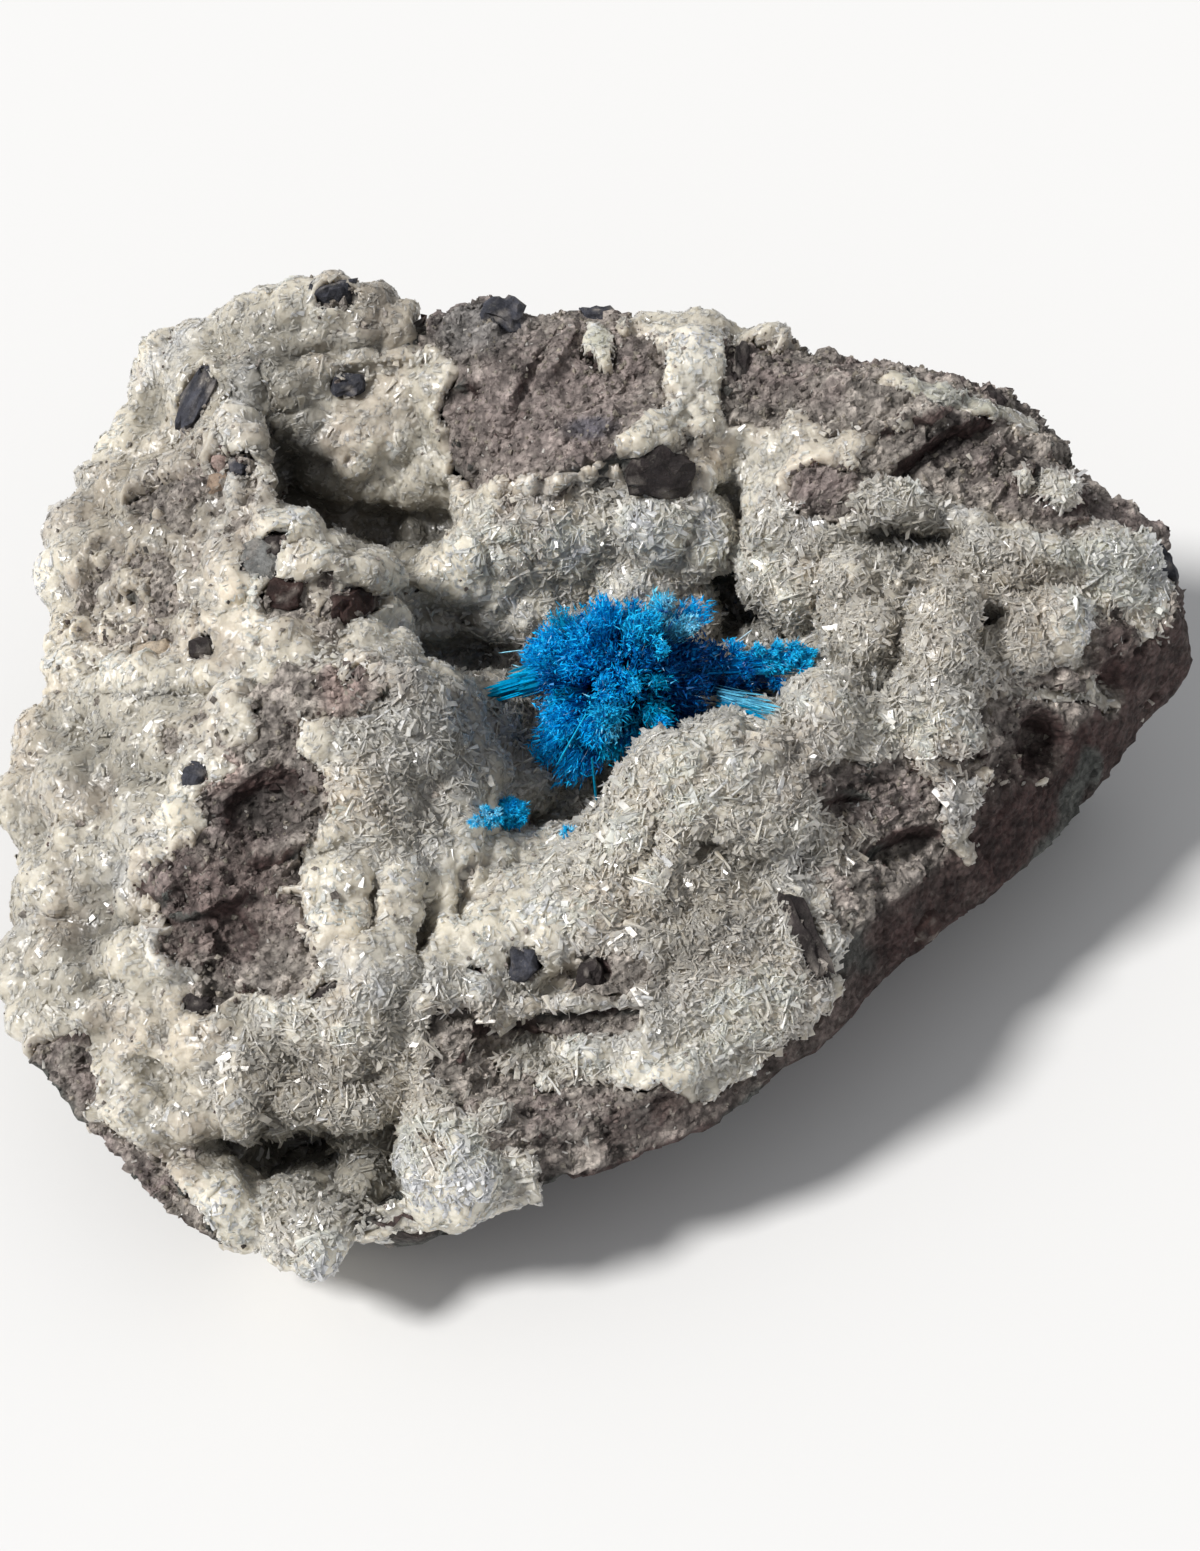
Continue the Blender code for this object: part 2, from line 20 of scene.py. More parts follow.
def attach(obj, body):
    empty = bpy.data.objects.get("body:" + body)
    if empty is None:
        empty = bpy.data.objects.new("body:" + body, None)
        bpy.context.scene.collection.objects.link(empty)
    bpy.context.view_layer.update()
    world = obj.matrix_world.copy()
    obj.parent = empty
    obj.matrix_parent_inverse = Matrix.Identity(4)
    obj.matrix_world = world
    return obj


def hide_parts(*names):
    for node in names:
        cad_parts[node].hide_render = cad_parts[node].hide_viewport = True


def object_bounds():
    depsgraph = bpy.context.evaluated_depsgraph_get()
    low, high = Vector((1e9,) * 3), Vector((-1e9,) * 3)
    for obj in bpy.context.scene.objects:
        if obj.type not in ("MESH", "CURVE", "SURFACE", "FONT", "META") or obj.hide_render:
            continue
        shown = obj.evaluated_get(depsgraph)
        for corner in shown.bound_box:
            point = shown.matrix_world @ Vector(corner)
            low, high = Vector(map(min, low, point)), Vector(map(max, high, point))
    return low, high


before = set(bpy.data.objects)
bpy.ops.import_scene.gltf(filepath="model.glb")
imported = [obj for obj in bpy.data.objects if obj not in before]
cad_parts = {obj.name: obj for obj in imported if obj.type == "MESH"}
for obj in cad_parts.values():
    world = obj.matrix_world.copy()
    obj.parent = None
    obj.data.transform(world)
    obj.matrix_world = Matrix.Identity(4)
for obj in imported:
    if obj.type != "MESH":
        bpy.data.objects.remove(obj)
cad_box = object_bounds()

MM = 0.001

# The photograph looks down on the specimen from the front.
PHOTO_WIDTH = 1200
PHOTO_HEIGHT = 1551
CAMERA_ELEVATION = 50.0
CAMERA_DISTANCE = 246.0
CAMERA_TARGET = (-0.742, 1.348, 14.0)
LENS = 85.0
SENSOR = 36.0

# It is lit from the upper left, a little from the front, with a soft light from all round.
LIGHT_WAY = (0.62, 0.20, -0.76)
LIGHT_STRENGTH = 3.75
LIGHT_WIDTH = 11.0
LIGHT_COLOUR = (1.0, 0.985, 0.96)
SKY_STRENGTH = 0.44
SKY_COLOUR = (0.97, 0.98, 1.0, 1.0)
FLOOR_REACH = 2.0  # metres
FLOOR_COLOUR = (0.72, 0.72, 0.72, 1.0)

# The fine surface: the size of its triangles, rounds of smoothing, how far it may leave the
# solid's box as a share of its sides, and the cells that merge vertices where it is hidden or
# faces down.
VOXEL = 0.33
FORM_SMOOTHING = 7
BOX_MARGIN = 0.02
HIDDEN_CELL = 1.4
SIDE_CELL = 0.62

# How deep the basalt lies under the druse, how high and how low the druse's base goes, how
# thick it is, and the random step in or out at each vertex of the two.
SUNK_BASALT = 0.45
CRUST_RISE = 0.30
CRUST_DIP = 0.25
CRUST_THICKNESS = 0.60
BASALT_GRAIN = 0.09
DRUSE_GRAIN = 0.04

# Painted light and shade: how much brighter a place is painted for each millimetre that it
# stands out, and darker for each that it stands in: on the druse with its lumps, the hollows and
# the ribs, and on the basalt with its roughness. Then how much the druse's brightness varies from
# place to place, and how bright its base is.
PAINTED_LIGHT_OF_LUMPS = 0.18
PAINTED_SHADE_OF_HOLLOWS = 0.17
PAINTED_LIGHT_OF_RIBS = 0.04
PAINTED_LIGHT_AND_SHADE_OF_ROUGH = 0.55
TONE_OF_CLOUDS = 0.30
BASE_TONE = 0.76

# The druse's blades, the longest one, the share of them on bare basalt and of ones painted
# white as glints, and how much they are shaded as the surface they grow on, where they are fine
# and coarse.
BLADE_COUNT = 52000
LONGEST_BLADE = 1.7
SPARSE_BLADES = 0.05
PAINTED_GLINT_BLADES = 0.03
SOFT_FINE = 1.3
SOFT_COARSE = 0.85

# Loose grains: how many, how large in millimetres, and the share that lies on the druse and of
# those that are druse.
GRIT_COUNT = 7000
GRIT_SIZE = 0.24
SPECKS_ON_DRUSE = 0.05
PALE_GRIT = 0.22

# Places on the stone

# How a patch fades at its edge: it has no effect beyond the first number times its size, and
# its whole effect within the second.
BARE_EDGE = (1.5, 0.5)
DUSTED_EDGE = (1.3, 0.6)
EVEN_EDGE = (1.2, 0.7)
ISLAND_EDGE = (1.5, 0.6)
STONE_EDGE = (1.15, 0.80)
RELIEF_EDGE = (1.35, 0.45)
LOWERED_EDGE = (1.6, 0.3)
CALM_EDGE = (1.3, 0.7)
COARSE_EDGE = (1.2, 0.6)
TONE_AND_PAINTED_LIGHT_EDGE = (1.4, 0.5)
DRUSE_TINT_EDGE = (1.5, 0.3)
BASALT_TINT_EDGE = (1.4, 0.5)

# How far the druse is gone where it is dusted, and how much evener or calmer a surface is.
DUSTED_SHARE = 0.48
EVEN_SHARE = 0.35
CALM_SHARE = 0.75

# Stretches of bare basalt on the top, as pixels of the photograph:
# across, down, half length, half width, turn in degrees counterclockwise.
BARE = {
    "knob of the back rim": (474, 325, 54, 40, 0),
    "back slope, left": (500, 390, 62, 58, 10),
    "back slope, low left": (478, 448, 34, 40, 0),
    "back slope, middle": (560, 425, 92, 50, 18),
    "back slope, right": (640, 375, 34, 55, 0),
    "slope behind the tan patch": (762, 380, 42, 52, -10),
    "right ledge, back": (850, 392, 80, 40, -12),
    "right ledge, shadow": (925, 455, 68, 36, 25),
    "right ledge, low": (1020, 488, 88, 44, -14),
    "right end": (1125, 512, 46, 16, -14),
    "beside the bar nodule": (826, 494, 38, 30, 10),
    "right flank": (1116, 655, 30, 48, 10),
    "right rim": (1178, 640, 24, 62, 0),
    "right end, low": (1150, 672, 30, 34, 0),
    "right side, upper": (1035, 738, 92, 54, 20),
    "right side, mauve": (880, 795, 74, 34, -8),
    "right side, middle": (905, 880, 72, 66, 20),
    "right side, red": (1015, 830, 60, 70, 40),
    "right side, foot": (880, 950, 60, 40, 35),
    "left basalt, upper": (272, 803, 56, 40, 15),
    "left basalt, middle": (215, 885, 82, 48, 8),
    "left basalt, lower": (238, 955, 75, 34, -10),
    "left basalt, right": (265, 914, 42, 26, 10),
    "front basalt": (480, 1060, 44, 56, 35),
    "front basalt, band": (575, 1024, 78, 15, 4),
    "front basalt, low": (572, 1122, 80, 28, 12),
    "lower left rim": (66, 1075, 44, 30, -50),
    "lower left foot": (170, 1205, 90, 22, -45),
    "lump of the back slope": (661, 478, 36, 24, -12),
    "mauve patch of the left plateau": (165, 592, 14, 30, 0),
    "brown patch of the left plateau": (150, 503, 22, 10, 20),
    "right of the big nodule": (568, 1178, 26, 30, 0),
}

# Stretches where the druse is thin and broken.
DUSTED = {
    "left basalt, top": (250, 712, 95, 52, 10),
    "bluff": (350, 692, 42, 34, 20),
    "left plateau": (195, 510, 84, 84, 10),
    "left end": (120, 590, 50, 60, 10),
    "left shelf": (140, 640, 80, 40, 10),
    "saddle": (330, 600, 70, 26, 10),
    "below the left basalt": (190, 990, 50, 22, 0),
    "front hollow": (600, 975, 60, 24, 0),
    "middle of the front": (482, 885, 26, 26, 0),
    "lower right": (845, 900, 40, 60, 10),
    "back slope, foot": (610, 470, 110, 26, 15),
}

# The back slope's bare basalt is more even than the rest.
EVEN_BASALT = (560, 385, 160, 100, 12)

# Druse inside the bare stretches.
ISLANDS = {
    "greenish patch of the back slope": (600, 350, 17, 30, 12),
    "pale strip of the back slope": (697, 368, 28, 50, -8),
    "pale strip of the right ledge": (955, 396, 66, 15, -14),
    "right corner of the rim": (1024, 424, 18, 18, 0),
    "bar nodule": (896, 500, 42, 15, 2),
    "left ledge nodule": (1022, 483, 9, 18, 0),
    "right ledge nodule": (1060, 496, 22, 13, -10),
    "white patch of the right side": (955, 798, 19, 24, 0),
    "white line of the right side": (1052, 695, 58, 6, -4),
    "blob of the right side": (1094, 686, 11, 12, 0),
    "pale patch of the right side": (962, 742, 32, 14, 20),
    "pocket of the front basalt": (530, 1060, 34, 18, -10),
}

# Forms finer than the solid's: pixels as above, and how far they stand out or in.
RELIEF = {
    "slot of the back wall, upper": (736, 520, 46, 9, -86, -2.0),
    "slot of the back wall, lower": (733, 602, 46, 32, -80, -4.2),
    "mound right of the slot": (795, 545, 40, 66, 0, 1.0),
    "back wall, bulge": (610, 535, 70, 26, 8, 0.6),
    "channel to the left": (470, 660, 72, 20, -8, -3.0),
    "groove of the back left hollow": (292, 462, 84, 26, -66, -2.6),
    "floor of the back left hollow": (370, 524, 92, 26, -7, -2.4),
    "far end of the back left hollow": (436, 512, 36, 36, 0, -1.3),
    "mound in the back left hollow": (350, 440, 40, 42, 0, 1.1),
    "ridge left of the hollow": (248, 446, 78, 9, -70, 0.9),
    "ridge left of the hollow, upper": (232, 378, 40, 12, -30, 0.9),
    "lip of the back left hollow": (365, 577, 84, 10, -4, 1.2),
    "ridge of the dome": (300, 312, 110, 15, 12, 0.9),
    "groove below the dome's ridge": (350, 347, 66, 11, 6, -1.3),
    "shoulder of the dome": (420, 380, 26, 40, 0, 0.5),
    "gap left of the knob": (420, 320, 10, 26, 0, -1.2),
    "upper crevice of the left basalt": (262, 808, 44, 28, 40, -0.9),
    "lower crevice of the left basalt": (232, 935, 22, 34, 20, -0.8),
    "ledge of the left basalt": (285, 850, 44, 9, 14, 1.0),
    "brow of the left basalt": (165, 880, 26, 34, 10, 1.0),
    "ledge of the left basalt, low": (205, 905, 48, 8, 20, 0.7),
    "pit of the lower left": (196, 1006, 15, 8, 0, -0.7),
    "pit of the upper left": (102, 672, 16, 11, 0, -2.0),
    "socket of the upper left": (150, 654, 28, 18, -5, -0.8),
    "tan lump": (226, 580, 22, 27, 0, 1.1),
    "round hollow of the left end": (150, 408, 18, 28, -12, -1.5),
    "hollow of the left lobe": (128, 922, 30, 18, 10, -1.6),
    "second hollow of the left lobe": (98, 985, 24, 12, 20, -0.8),
    "upper left lobe": (66, 790, 44, 40, 30, 0.8),
    "middle left lobe": (62, 870, 40, 40, 30, 1.0),
    "lower left lobe": (66, 1000, 44, 34, -20, 1.0),
    "left plateau, high part": (150, 560, 50, 40, 20, 0.7),
    "left plateau, dip": (112, 610, 26, 20, 0, -0.8),
    "left plateau, second dip": (215, 520, 22, 26, 0, -0.8),
    "step below the left shelf": (180, 690, 90, 8, 4, -0.9),
    "brown hollow": (318, 922, 10, 20, 0, -1.4),
    "left pocket of the front": (428, 928, 13, 32, -20, -2.2),
    "right pocket of the front": (462, 905, 10, 20, -10, -1.6),
    "notch of the bluff": (385, 715, 10, 26, -20, -1.2),
    "lower notch of the bluff": (372, 905, 9, 26, 0, -1.2),
    "crest of the bluff": (410, 690, 40, 12, -12, 0.9),
    "rib of the bluff": (450, 800, 14, 50, 10, 0.7),
    "pocket of the front basalt": (520, 1046, 42, 20, -20, -1.3),
    "dark of the front basalt": (500, 1085, 26, 18, -20, -0.8),
    "band of the front basalt": (600, 1020, 70, 10, 5, -0.6),
    "ledge over the front band": (560, 1000, 70, 8, 5, 0.9),
    "pits of the front band": (590, 974, 20, 13, 0, -1.4),
    "front hollow right of the cube": (556, 978, 18, 26, -30, -1.3),
    "left cavity of the front": (284, 1152, 74, 30, -10, -4.0),
    "left cavity, deeper part": (322, 1160, 40, 22, 0, -1.8),
    "right cavity of the front": (392, 1165, 24, 40, 24, -4.0),
    "lobe above the cavities": (330, 1098, 60, 17, -4, 1.2),
    "big nodule of the front": (450, 1150, 46, 40, 20, 0.6),
    "bottom nodule": (308, 1205, 30, 26, 0, 0.2),
    "left bottom nodule": (244, 1205, 22, 20, 0, 0.3),
    "nodule of the lower left": (180, 1120, 30, 22, -30, 0.8),
    "dip of the lower left": (150, 1080, 30, 14, -30, -0.9),
    "bar nodule": (900, 498, 48, 9, 2, 0.4),
    "hollow below the bar": (910, 537, 56, 22, -2, -2.6),
    "shadow ledge": (955, 446, 68, 12, 30, -1.8),
    "brow of the ledge": (930, 410, 66, 9, 24, 0.9),
    "left ledge nodule": (1022, 478, 9, 22, -20, 1.1),
    "right ledge nodule": (1062, 500, 24, 10, -10, 1.1),
    "step of the right slope": (1060, 553, 100, 9, -3, 0.9),
    "foot of the step": (1040, 585, 90, 12, -3, -0.8),
    "block of the right slope": (862, 582, 17, 20, 0, 1.3),
    "column of the right slope": (868, 640, 28, 36, -10, 1.5),
    "gap right of the column": (899, 632, 8, 54, -14, -2.2),
    "second column of the right slope": (932, 640, 24, 44, -10, 1.3),
    "pit of the right slope": (985, 616, 28, 15, 0, -2.4),
    "third column of the right slope": (1022, 642, 20, 34, 10, 0.7),
    "second gap of the right slope": (975, 655, 8, 30, -10, -1.4),
    "fourth column of the right slope": (1064, 625, 20, 34, 0, 1.1),
    "recess of the right slope": (878, 686, 30, 16, 18, -3.4),
    "lobe right of the recess": (950, 680, 40, 26, 10, 0.9),
    "pocket of the right side": (905, 852, 38, 17, 14, -2.2),
    "pocket of the right side, upper": (850, 805, 22, 10, 0, -1.0),
    "hollow of the right side": (1040, 745, 24, 28, 10, -2.6),
    "hollow of the right flank": (1112, 690, 14, 24, 0, -1.8),
    "lobe of the front": (735, 800, 60, 44, 10, 0.7),
    "foot of the front lobe": (690, 905, 80, 22, 10, -0.8),
    "furrow of the front slope": (640, 870, 14, 80, -25, -0.8),
    "hollow of the front lobe": (712, 850, 30, 26, 0, -0.8),
    "rib of the front lobe": (790, 870, 14, 60, -10, 0.7),
    "tail of the middle hollow": (560, 822, 40, 20, 0, -1.0),
    "pit of the back slope": (466, 393, 14, 7, -10, -1.1),
    "furrow of the back slope": (520, 400, 8, 60, -24, -0.8),
    "rib of the back slope": (560, 350, 8, 44, -24, 0.7),
    "second furrow of the back slope": (625, 385, 26, 8, 30, -0.7),
    "foot of the back slope": (560, 470, 80, 10, 14, 0.6),
    "hollow under the tan patch": (720, 492, 26, 12, 0, -0.8),
}

# Thin crests that are lower than the solid's: pixels as above, and how far down they go.
LOWERED = {
    "crest of the front lobe": (712, 722, 56, 26, 10, 1.5),
    "notch right of the crest": (776, 700, 42, 28, 30, 2.3),
}

# Stretches where the druse's own lumps are small, so that the forms above show.
CALM = {
    "bar nodule": (900, 515, 72, 42, 0),
    "crest of the front lobe": (735, 715, 70, 30, 10),
    "round hollow of the left end": (150, 412, 26, 36, -12),
    "right slope": (1030, 630, 74, 50, 0),
}

# Colours, as seen in the photograph's light.
DRUSE = (0.755, 0.702, 0.590)
DRUSE_WHITE = (0.90, 0.89, 0.86)
DRUSE_TAN = (0.80, 0.66, 0.50)
DRUSE_GREEN = (0.66, 0.68, 0.56)
DRUSE_GREY = (0.61, 0.585, 0.525)
DRUSE_BROWN = (0.50, 0.42, 0.34)
DRUSE_BEIGE = (0.68, 0.60, 0.48)
DRUSE_CREAM = (0.86, 0.76, 0.62)
DRUSE_DIRT = (0.42, 0.35, 0.29)
BASALT = (0.283, 0.253, 0.230)
BASALT_MAUVE = (0.275, 0.226, 0.214)
BASALT_DUST = (0.410, 0.370, 0.332)
BASALT_PINK = (0.360, 0.270, 0.245)
BASALT_GREY = (0.165, 0.162, 0.160)
BASALT_BROWN = (0.160, 0.120, 0.110)
BASALT_DARK_AND_PAINTED_SHADE = (0.050, 0.040, 0.040)
BASALT_RED = (0.060, 0.034, 0.032)
BASALT_BLUE = (0.060, 0.065, 0.090)
BASALT_GREEN = (0.105, 0.110, 0.102)

# Clouds of colour: the colour, how strong it is, the size of the clouds in millimetres, their
# seed and octaves, and the noise at which they start and are full.
DRUSE_CLOUDS = (
    (DRUSE_GREY, 0.7, 9, 101, 2, 0.0, 0.6),
    (DRUSE_TAN, 0.3, 6, 103, 2, 0.1, 0.7),
    (DRUSE_BROWN, 0.6, 4.5, 105, 4, 0.05, 0.5),
    (DRUSE_WHITE, 0.5, 3, 107, 2, 0.2, 0.8),
)
BASALT_CLOUDS = (
    (BASALT_MAUVE, 1.0, 5, 113, 3, -0.1, 0.5),
    (BASALT_DARK_AND_PAINTED_SHADE, 0.6, 2.5, 127, 3, 0.1, 0.6),
    (BASALT_DUST, 0.9, 1.6, 129, 4, 0.0, 0.40),
)

# Stones set in the top, as pixels: across, down, half length, half width, turn, how far they
# stand out in millimetres, and their colour. Each goes in by its depth besides.
STONE_DEPTH = 0.45
STONE_BLUE = (0.050, 0.052, 0.066)
STONE_BLACK = (0.030, 0.024, 0.024)
STONE_RED = (0.046, 0.026, 0.023)
STONE_TAN = (0.400, 0.330, 0.250)
STONE_BROWN = (0.270, 0.200, 0.150)
STONE_PINK = (0.380, 0.280, 0.250)
STONE_GREY = (0.170, 0.172, 0.168)
STONES = {
    "long stone of the left end": (194, 400, 38, 13, 68, 0.5, STONE_BLUE),
    "stone of the rim": (338, 303, 23, 10, 12, 1.9, STONE_BLUE),
    "stone of the dome": (347, 386, 15, 10, 0, 0.7, STONE_BLUE),
    "stone of the ridge": (243, 467, 15, 11, 0, 0.6, STONE_BLUE),
    "pink stone": (219, 464, 8, 8, 0, 0.6, STONE_PINK),
    "brown spots": (216, 483, 12, 7, 0, 0.3, STONE_BROWN),
    "speck of the left plateau": (165, 507, 10, 7, 10, 0.3, STONE_BROWN),
    "striped lump": (262, 562, 22, 18, -40, 0.7, STONE_GREY),
    "dark end of the striped lump": (273, 548, 9, 11, 0, 0.7, STONE_BLACK),
    "red stone below it": (284, 595, 18, 17, 0, 0.5, STONE_RED),
    "red stone of the saddle": (355, 604, 32, 14, 16, 0.5, STONE_RED),
    "dot of the saddle": (387, 575, 6, 6, 0, 0.4, STONE_BLACK),
    "lump of the socket": (149, 654, 23, 15, -5, 0.4, STONE_TAN),
    "black stone of the left shelf": (203, 649, 13, 11, 0, 0.6, STONE_BLACK),
    "blue stone of the left basalt": (194, 775, 12, 10, 20, 0.6, STONE_BLUE),
    "stone of the bluff": (359, 684, 8, 13, 0, 0.5, STONE_BLACK),
    "stone of the lower left": (196, 1004, 15, 8, 0, 0.2, STONE_BLACK),
    "leaf of the lower left": (326, 992, 16, 7, 25, 0.3, STONE_BLACK),
    "cube": (523, 964, 15, 16, 0, 1.1, STONE_BLUE),
    "leaf of the front": (478, 974, 12, 5, -20, 0.2, STONE_BLACK),
    "stone right of the cube": (590, 976, 13, 14, 0, 0.4, STONE_BLACK),
    "stone of the back slope": (659, 475, 33, 21, -8, 0.9, STONE_BLACK),
    "stone of the right rim": (996, 399, 13, 8, -20, 0.5, STONE_BLACK),
    "stone of the right end": (1161, 566, 14, 18, 0, 0.8, STONE_BLUE),
    "long stone of the front": (806, 940, 46, 13, -70, 0.9, STONE_BLACK),
    "red stone of the right side": (928, 928, 18, 13, 30, 0.5, STONE_RED),
    "stone of the knob": (505, 313, 20, 17, 0, 0.6, STONE_BLUE),
    "stone right of the pale strip": (741, 360, 9, 20, -8, 0.4, STONE_BLACK),
    "stone of the back rim": (597, 312, 18, 6, 0, 0.3, STONE_BLUE),
}

# Tinted stretches of the druse and of the basalt: pixels as above, and the colour. Some are
# painted light or shade, as their names say.
DRUSE_TINTS = {
    "strip of the back slope": (697, 368, 28, 48, -8, DRUSE_GREY),
    "green patch of the back slope": (600, 350, 18, 30, 12, DRUSE_GREEN),
    "tan patch": (714, 456, 26, 18, 0, DRUSE_TAN),
    "pale strip of the right ledge": (955, 396, 66, 15, -14, DRUSE_GREEN),
    "green step": (1085, 548, 60, 12, 10, DRUSE_GREEN),
    "white patch of the right side": (955, 803, 25, 32, 0, DRUSE_WHITE),
    "tan lump": (226, 582, 24, 28, 0, DRUSE_CREAM),
    "tan patch of the bluff": (342, 800, 40, 28, 0, DRUSE_TAN),
    "tan patch of the front": (604, 908, 44, 30, 10, DRUSE_TAN),
    "tan patch of the lower right": (850, 835, 24, 26, 0, DRUSE_TAN),
    "tan patch of the socket": (152, 652, 22, 14, 0, DRUSE_TAN),
    "grey of the middle hollow": (600, 740, 150, 110, 0, DRUSE_GREY),
    "grey of the channel": (455, 640, 80, 30, 0, DRUSE_GREY),
    "grey of the bluff": (440, 740, 80, 80, 0, DRUSE_GREY),
    "beige of the front": (310, 1085, 150, 60, -4, DRUSE_BEIGE),
    "beige of the right slope": (950, 620, 130, 70, 0, DRUSE_BEIGE),
    "beige of the front lobe": (700, 880, 70, 110, 10, DRUSE_BEIGE),
    "beige of the left plateau": (150, 520, 90, 100, 10, DRUSE_BEIGE),
    "streak of the dome": (331, 436, 22, 8, 22, DRUSE_DIRT),
    # Painted highlights along the lit crests of the left end and of the ridge.
    "painted highlight of the left end": (172, 352, 50, 14, 40, DRUSE_WHITE),
    "painted highlight of the ridge": (240, 395, 16, 44, -10, DRUSE_WHITE),
    "brown of the left end": (72, 585, 18, 16, 0, DRUSE_DIRT),
    "brown of the left plateau": (186, 476, 14, 18, 0, DRUSE_DIRT),
}
BASALT_TINTS = {
    "right side, upper": (1060, 760, 70, 40, 20, BASALT_RED),
    "below the left basalt": (185, 985, 34, 20, 0, BASALT_DUST),
    "back slope": (540, 400, 120, 90, 15, BASALT_MAUVE),
    "pale ledge of the left basalt": (275, 850, 44, 10, 10, BASALT_DUST),
    "mauve of the left basalt": (165, 875, 36, 34, 0, BASALT_MAUVE),
    "knob": (470, 325, 46, 34, 0, BASALT_GREY),
    "blue spot of the knob": (505, 313, 20, 18, 0, BASALT_BLUE),
    "blue spots of the back slope": (590, 428, 34, 12, 0, BASALT_BLUE),
    "dark edge right of the strip": (738, 358, 14, 20, 0, BASALT_DARK_AND_PAINTED_SHADE),
    "lump of the back slope": (661, 478, 34, 22, -12, BASALT_DARK_AND_PAINTED_SHADE),
    "mauve of the right ledge": (822, 480, 36, 30, 20, BASALT_MAUVE),
    # Painted shadow under the ledge's brow.
    "shadow ledge": (955, 440, 60, 22, 28, BASALT_DARK_AND_PAINTED_SHADE),
    "right end": (1080, 505, 60, 24, -14, BASALT_MAUVE),
    "right flank": (1116, 655, 30, 44, 10, BASALT_RED),
    "right side, red": (1015, 830, 60, 75, 40, BASALT_RED),
    "right side, foot": (915, 925, 80, 30, 38, BASALT_RED),
    "right side, mauve": (876, 795, 60, 34, -10, BASALT_MAUVE),
    "pink of the left basalt": (218, 772, 20, 26, 40, BASALT_PINK),
    # Painted shade in the two crevices of the left basalt.
    "painted shade of the upper crevice": (266, 812, 46, 36, 20, BASALT_DARK_AND_PAINTED_SHADE),
    "painted shade of the lower crevice": (235, 935, 24, 34, 20, BASALT_DARK_AND_PAINTED_SHADE),
    "brown of the left basalt": (225, 905, 86, 66, 8, BASALT_BROWN),
    "pink of the bluff": (340, 692, 24, 26, 0, BASALT_PINK),
    "front basalt": (490, 1058, 50, 54, 35, BASALT_DUST),
    "red edge of the front": (640, 1120, 60, 20, 25, BASALT_RED),
}

# Where the druse is painted darker or brighter than elsewhere: partly its own duller or cleaner
# tone, partly painted shade in hollows, creases and under ledges, and painted light on faces that
# the light falls on: pixels as above, and the factor.
DRUSE_TONE_AND_PAINTED_LIGHT = {
    "left plateau": (150, 520, 90, 100, 10, 0.62),
    "left lobes": (70, 880, 90, 180, 0, 0.71),
    "left middle": (130, 730, 90, 60, 0, 0.74),
    "dome": (230, 360, 90, 60, 20, 0.74),
    "front": (300, 1085, 140, 46, -4, 0.74),
    "left wall of the middle hollow": (476, 730, 52, 66, 0, 0.44),
    "left of the wedge": (486, 668, 62, 24, -6, 0.45),
    "left under the ball": (530, 765, 26, 60, 10, 0.50),
    "above the channel": (440, 615, 40, 22, 0, 0.72),
    "channel": (450, 650, 70, 26, 0, 0.60),
    "foot of the middle hollow": (560, 815, 60, 22, 0, 0.62),
    "back left hollow": (350, 515, 100, 46, -20, 0.45),
    "front cavity": (310, 1155, 100, 38, -4, 0.46),
    "behind the arm": (735, 605, 36, 46, 0, 0.30),
    "back wall": (610, 540, 100, 40, 8, 1.32),
    "right end": (1110, 590, 70, 56, 0, 1.55),
    "right front": (750, 985, 80, 50, 30, 1.25),
    "front lobe, hollow": (715, 852, 44, 36, 0, 0.66),
    "front lobe, lower hollow": (700, 945, 50, 38, 0, 0.68),
    "below the bar": (908, 537, 66, 26, -2, 0.36),
    "groove left of the mound": (283, 455, 18, 62, 24, 0.45),
    "recess of the right slope": (880, 684, 30, 18, 18, 0.50),
    "pit of the right slope": (985, 616, 30, 17, 0, 0.55),
    "gap right of the column": (899, 632, 9, 54, -14, 0.60),
    "under the ridge of the dome": (320, 346, 90, 14, 14, 0.60),
    "shade left of the mound": (290, 425, 32, 95, 18, 0.52),
    "right side of the mound": (425, 450, 28, 60, -10, 0.72),
    "right end of the back left hollow": (425, 532, 44, 24, 0, 0.60),
    "ridge of the dome": (330, 308, 110, 22, 14, 0.74),
    "bluff": (385, 735, 60, 70, 0, 0.92),
    "right slope": (910, 620, 110, 60, 0, 0.88),
    "round hollow of the left end": (150, 410, 22, 30, -12, 0.72),
    "hollow of the left lobe": (92, 940, 38, 28, 20, 0.50),
    "big nodule": (450, 1160, 70, 60, 0, 1.30),
    "bottom nodule": (306, 1215, 50, 46, 0, 1.15),
    "front lobe": (700, 820, 110, 110, 10, 1.10),
}

# Where the blades of the druse are large and plain to see.
COARSE_DRUSE = {
    "middle hollow": (640, 720, 190, 160, 0),
    "front lobe": (680, 860, 150, 120, 20),
    "right slope": (920, 640, 160, 90, 10),
    "front": (420, 1080, 220, 110, 0),
    "right front": (740, 980, 120, 90, 30),
    "back wall": (610, 540, 150, 60, 0),
    "bar nodule": (900, 502, 66, 30, 0),
    "right slope, upper": (960, 580, 190, 56, -4),
    "mound right of the cleft": (800, 570, 60, 80, 0),
    "ledge nodules": (1045, 490, 50, 26, 0),
    "lower right": (830, 830, 110, 60, 20),
    "bluff": (400, 770, 70, 110, 0),
    "bottom nodule": (306, 1215, 50, 46, 0),
    "right end": (1110, 580, 76, 66, 0),
    "foot of the right slope": (870, 735, 130, 46, 0),
    "white patch of the right side": (955, 798, 34, 38, 0),
}

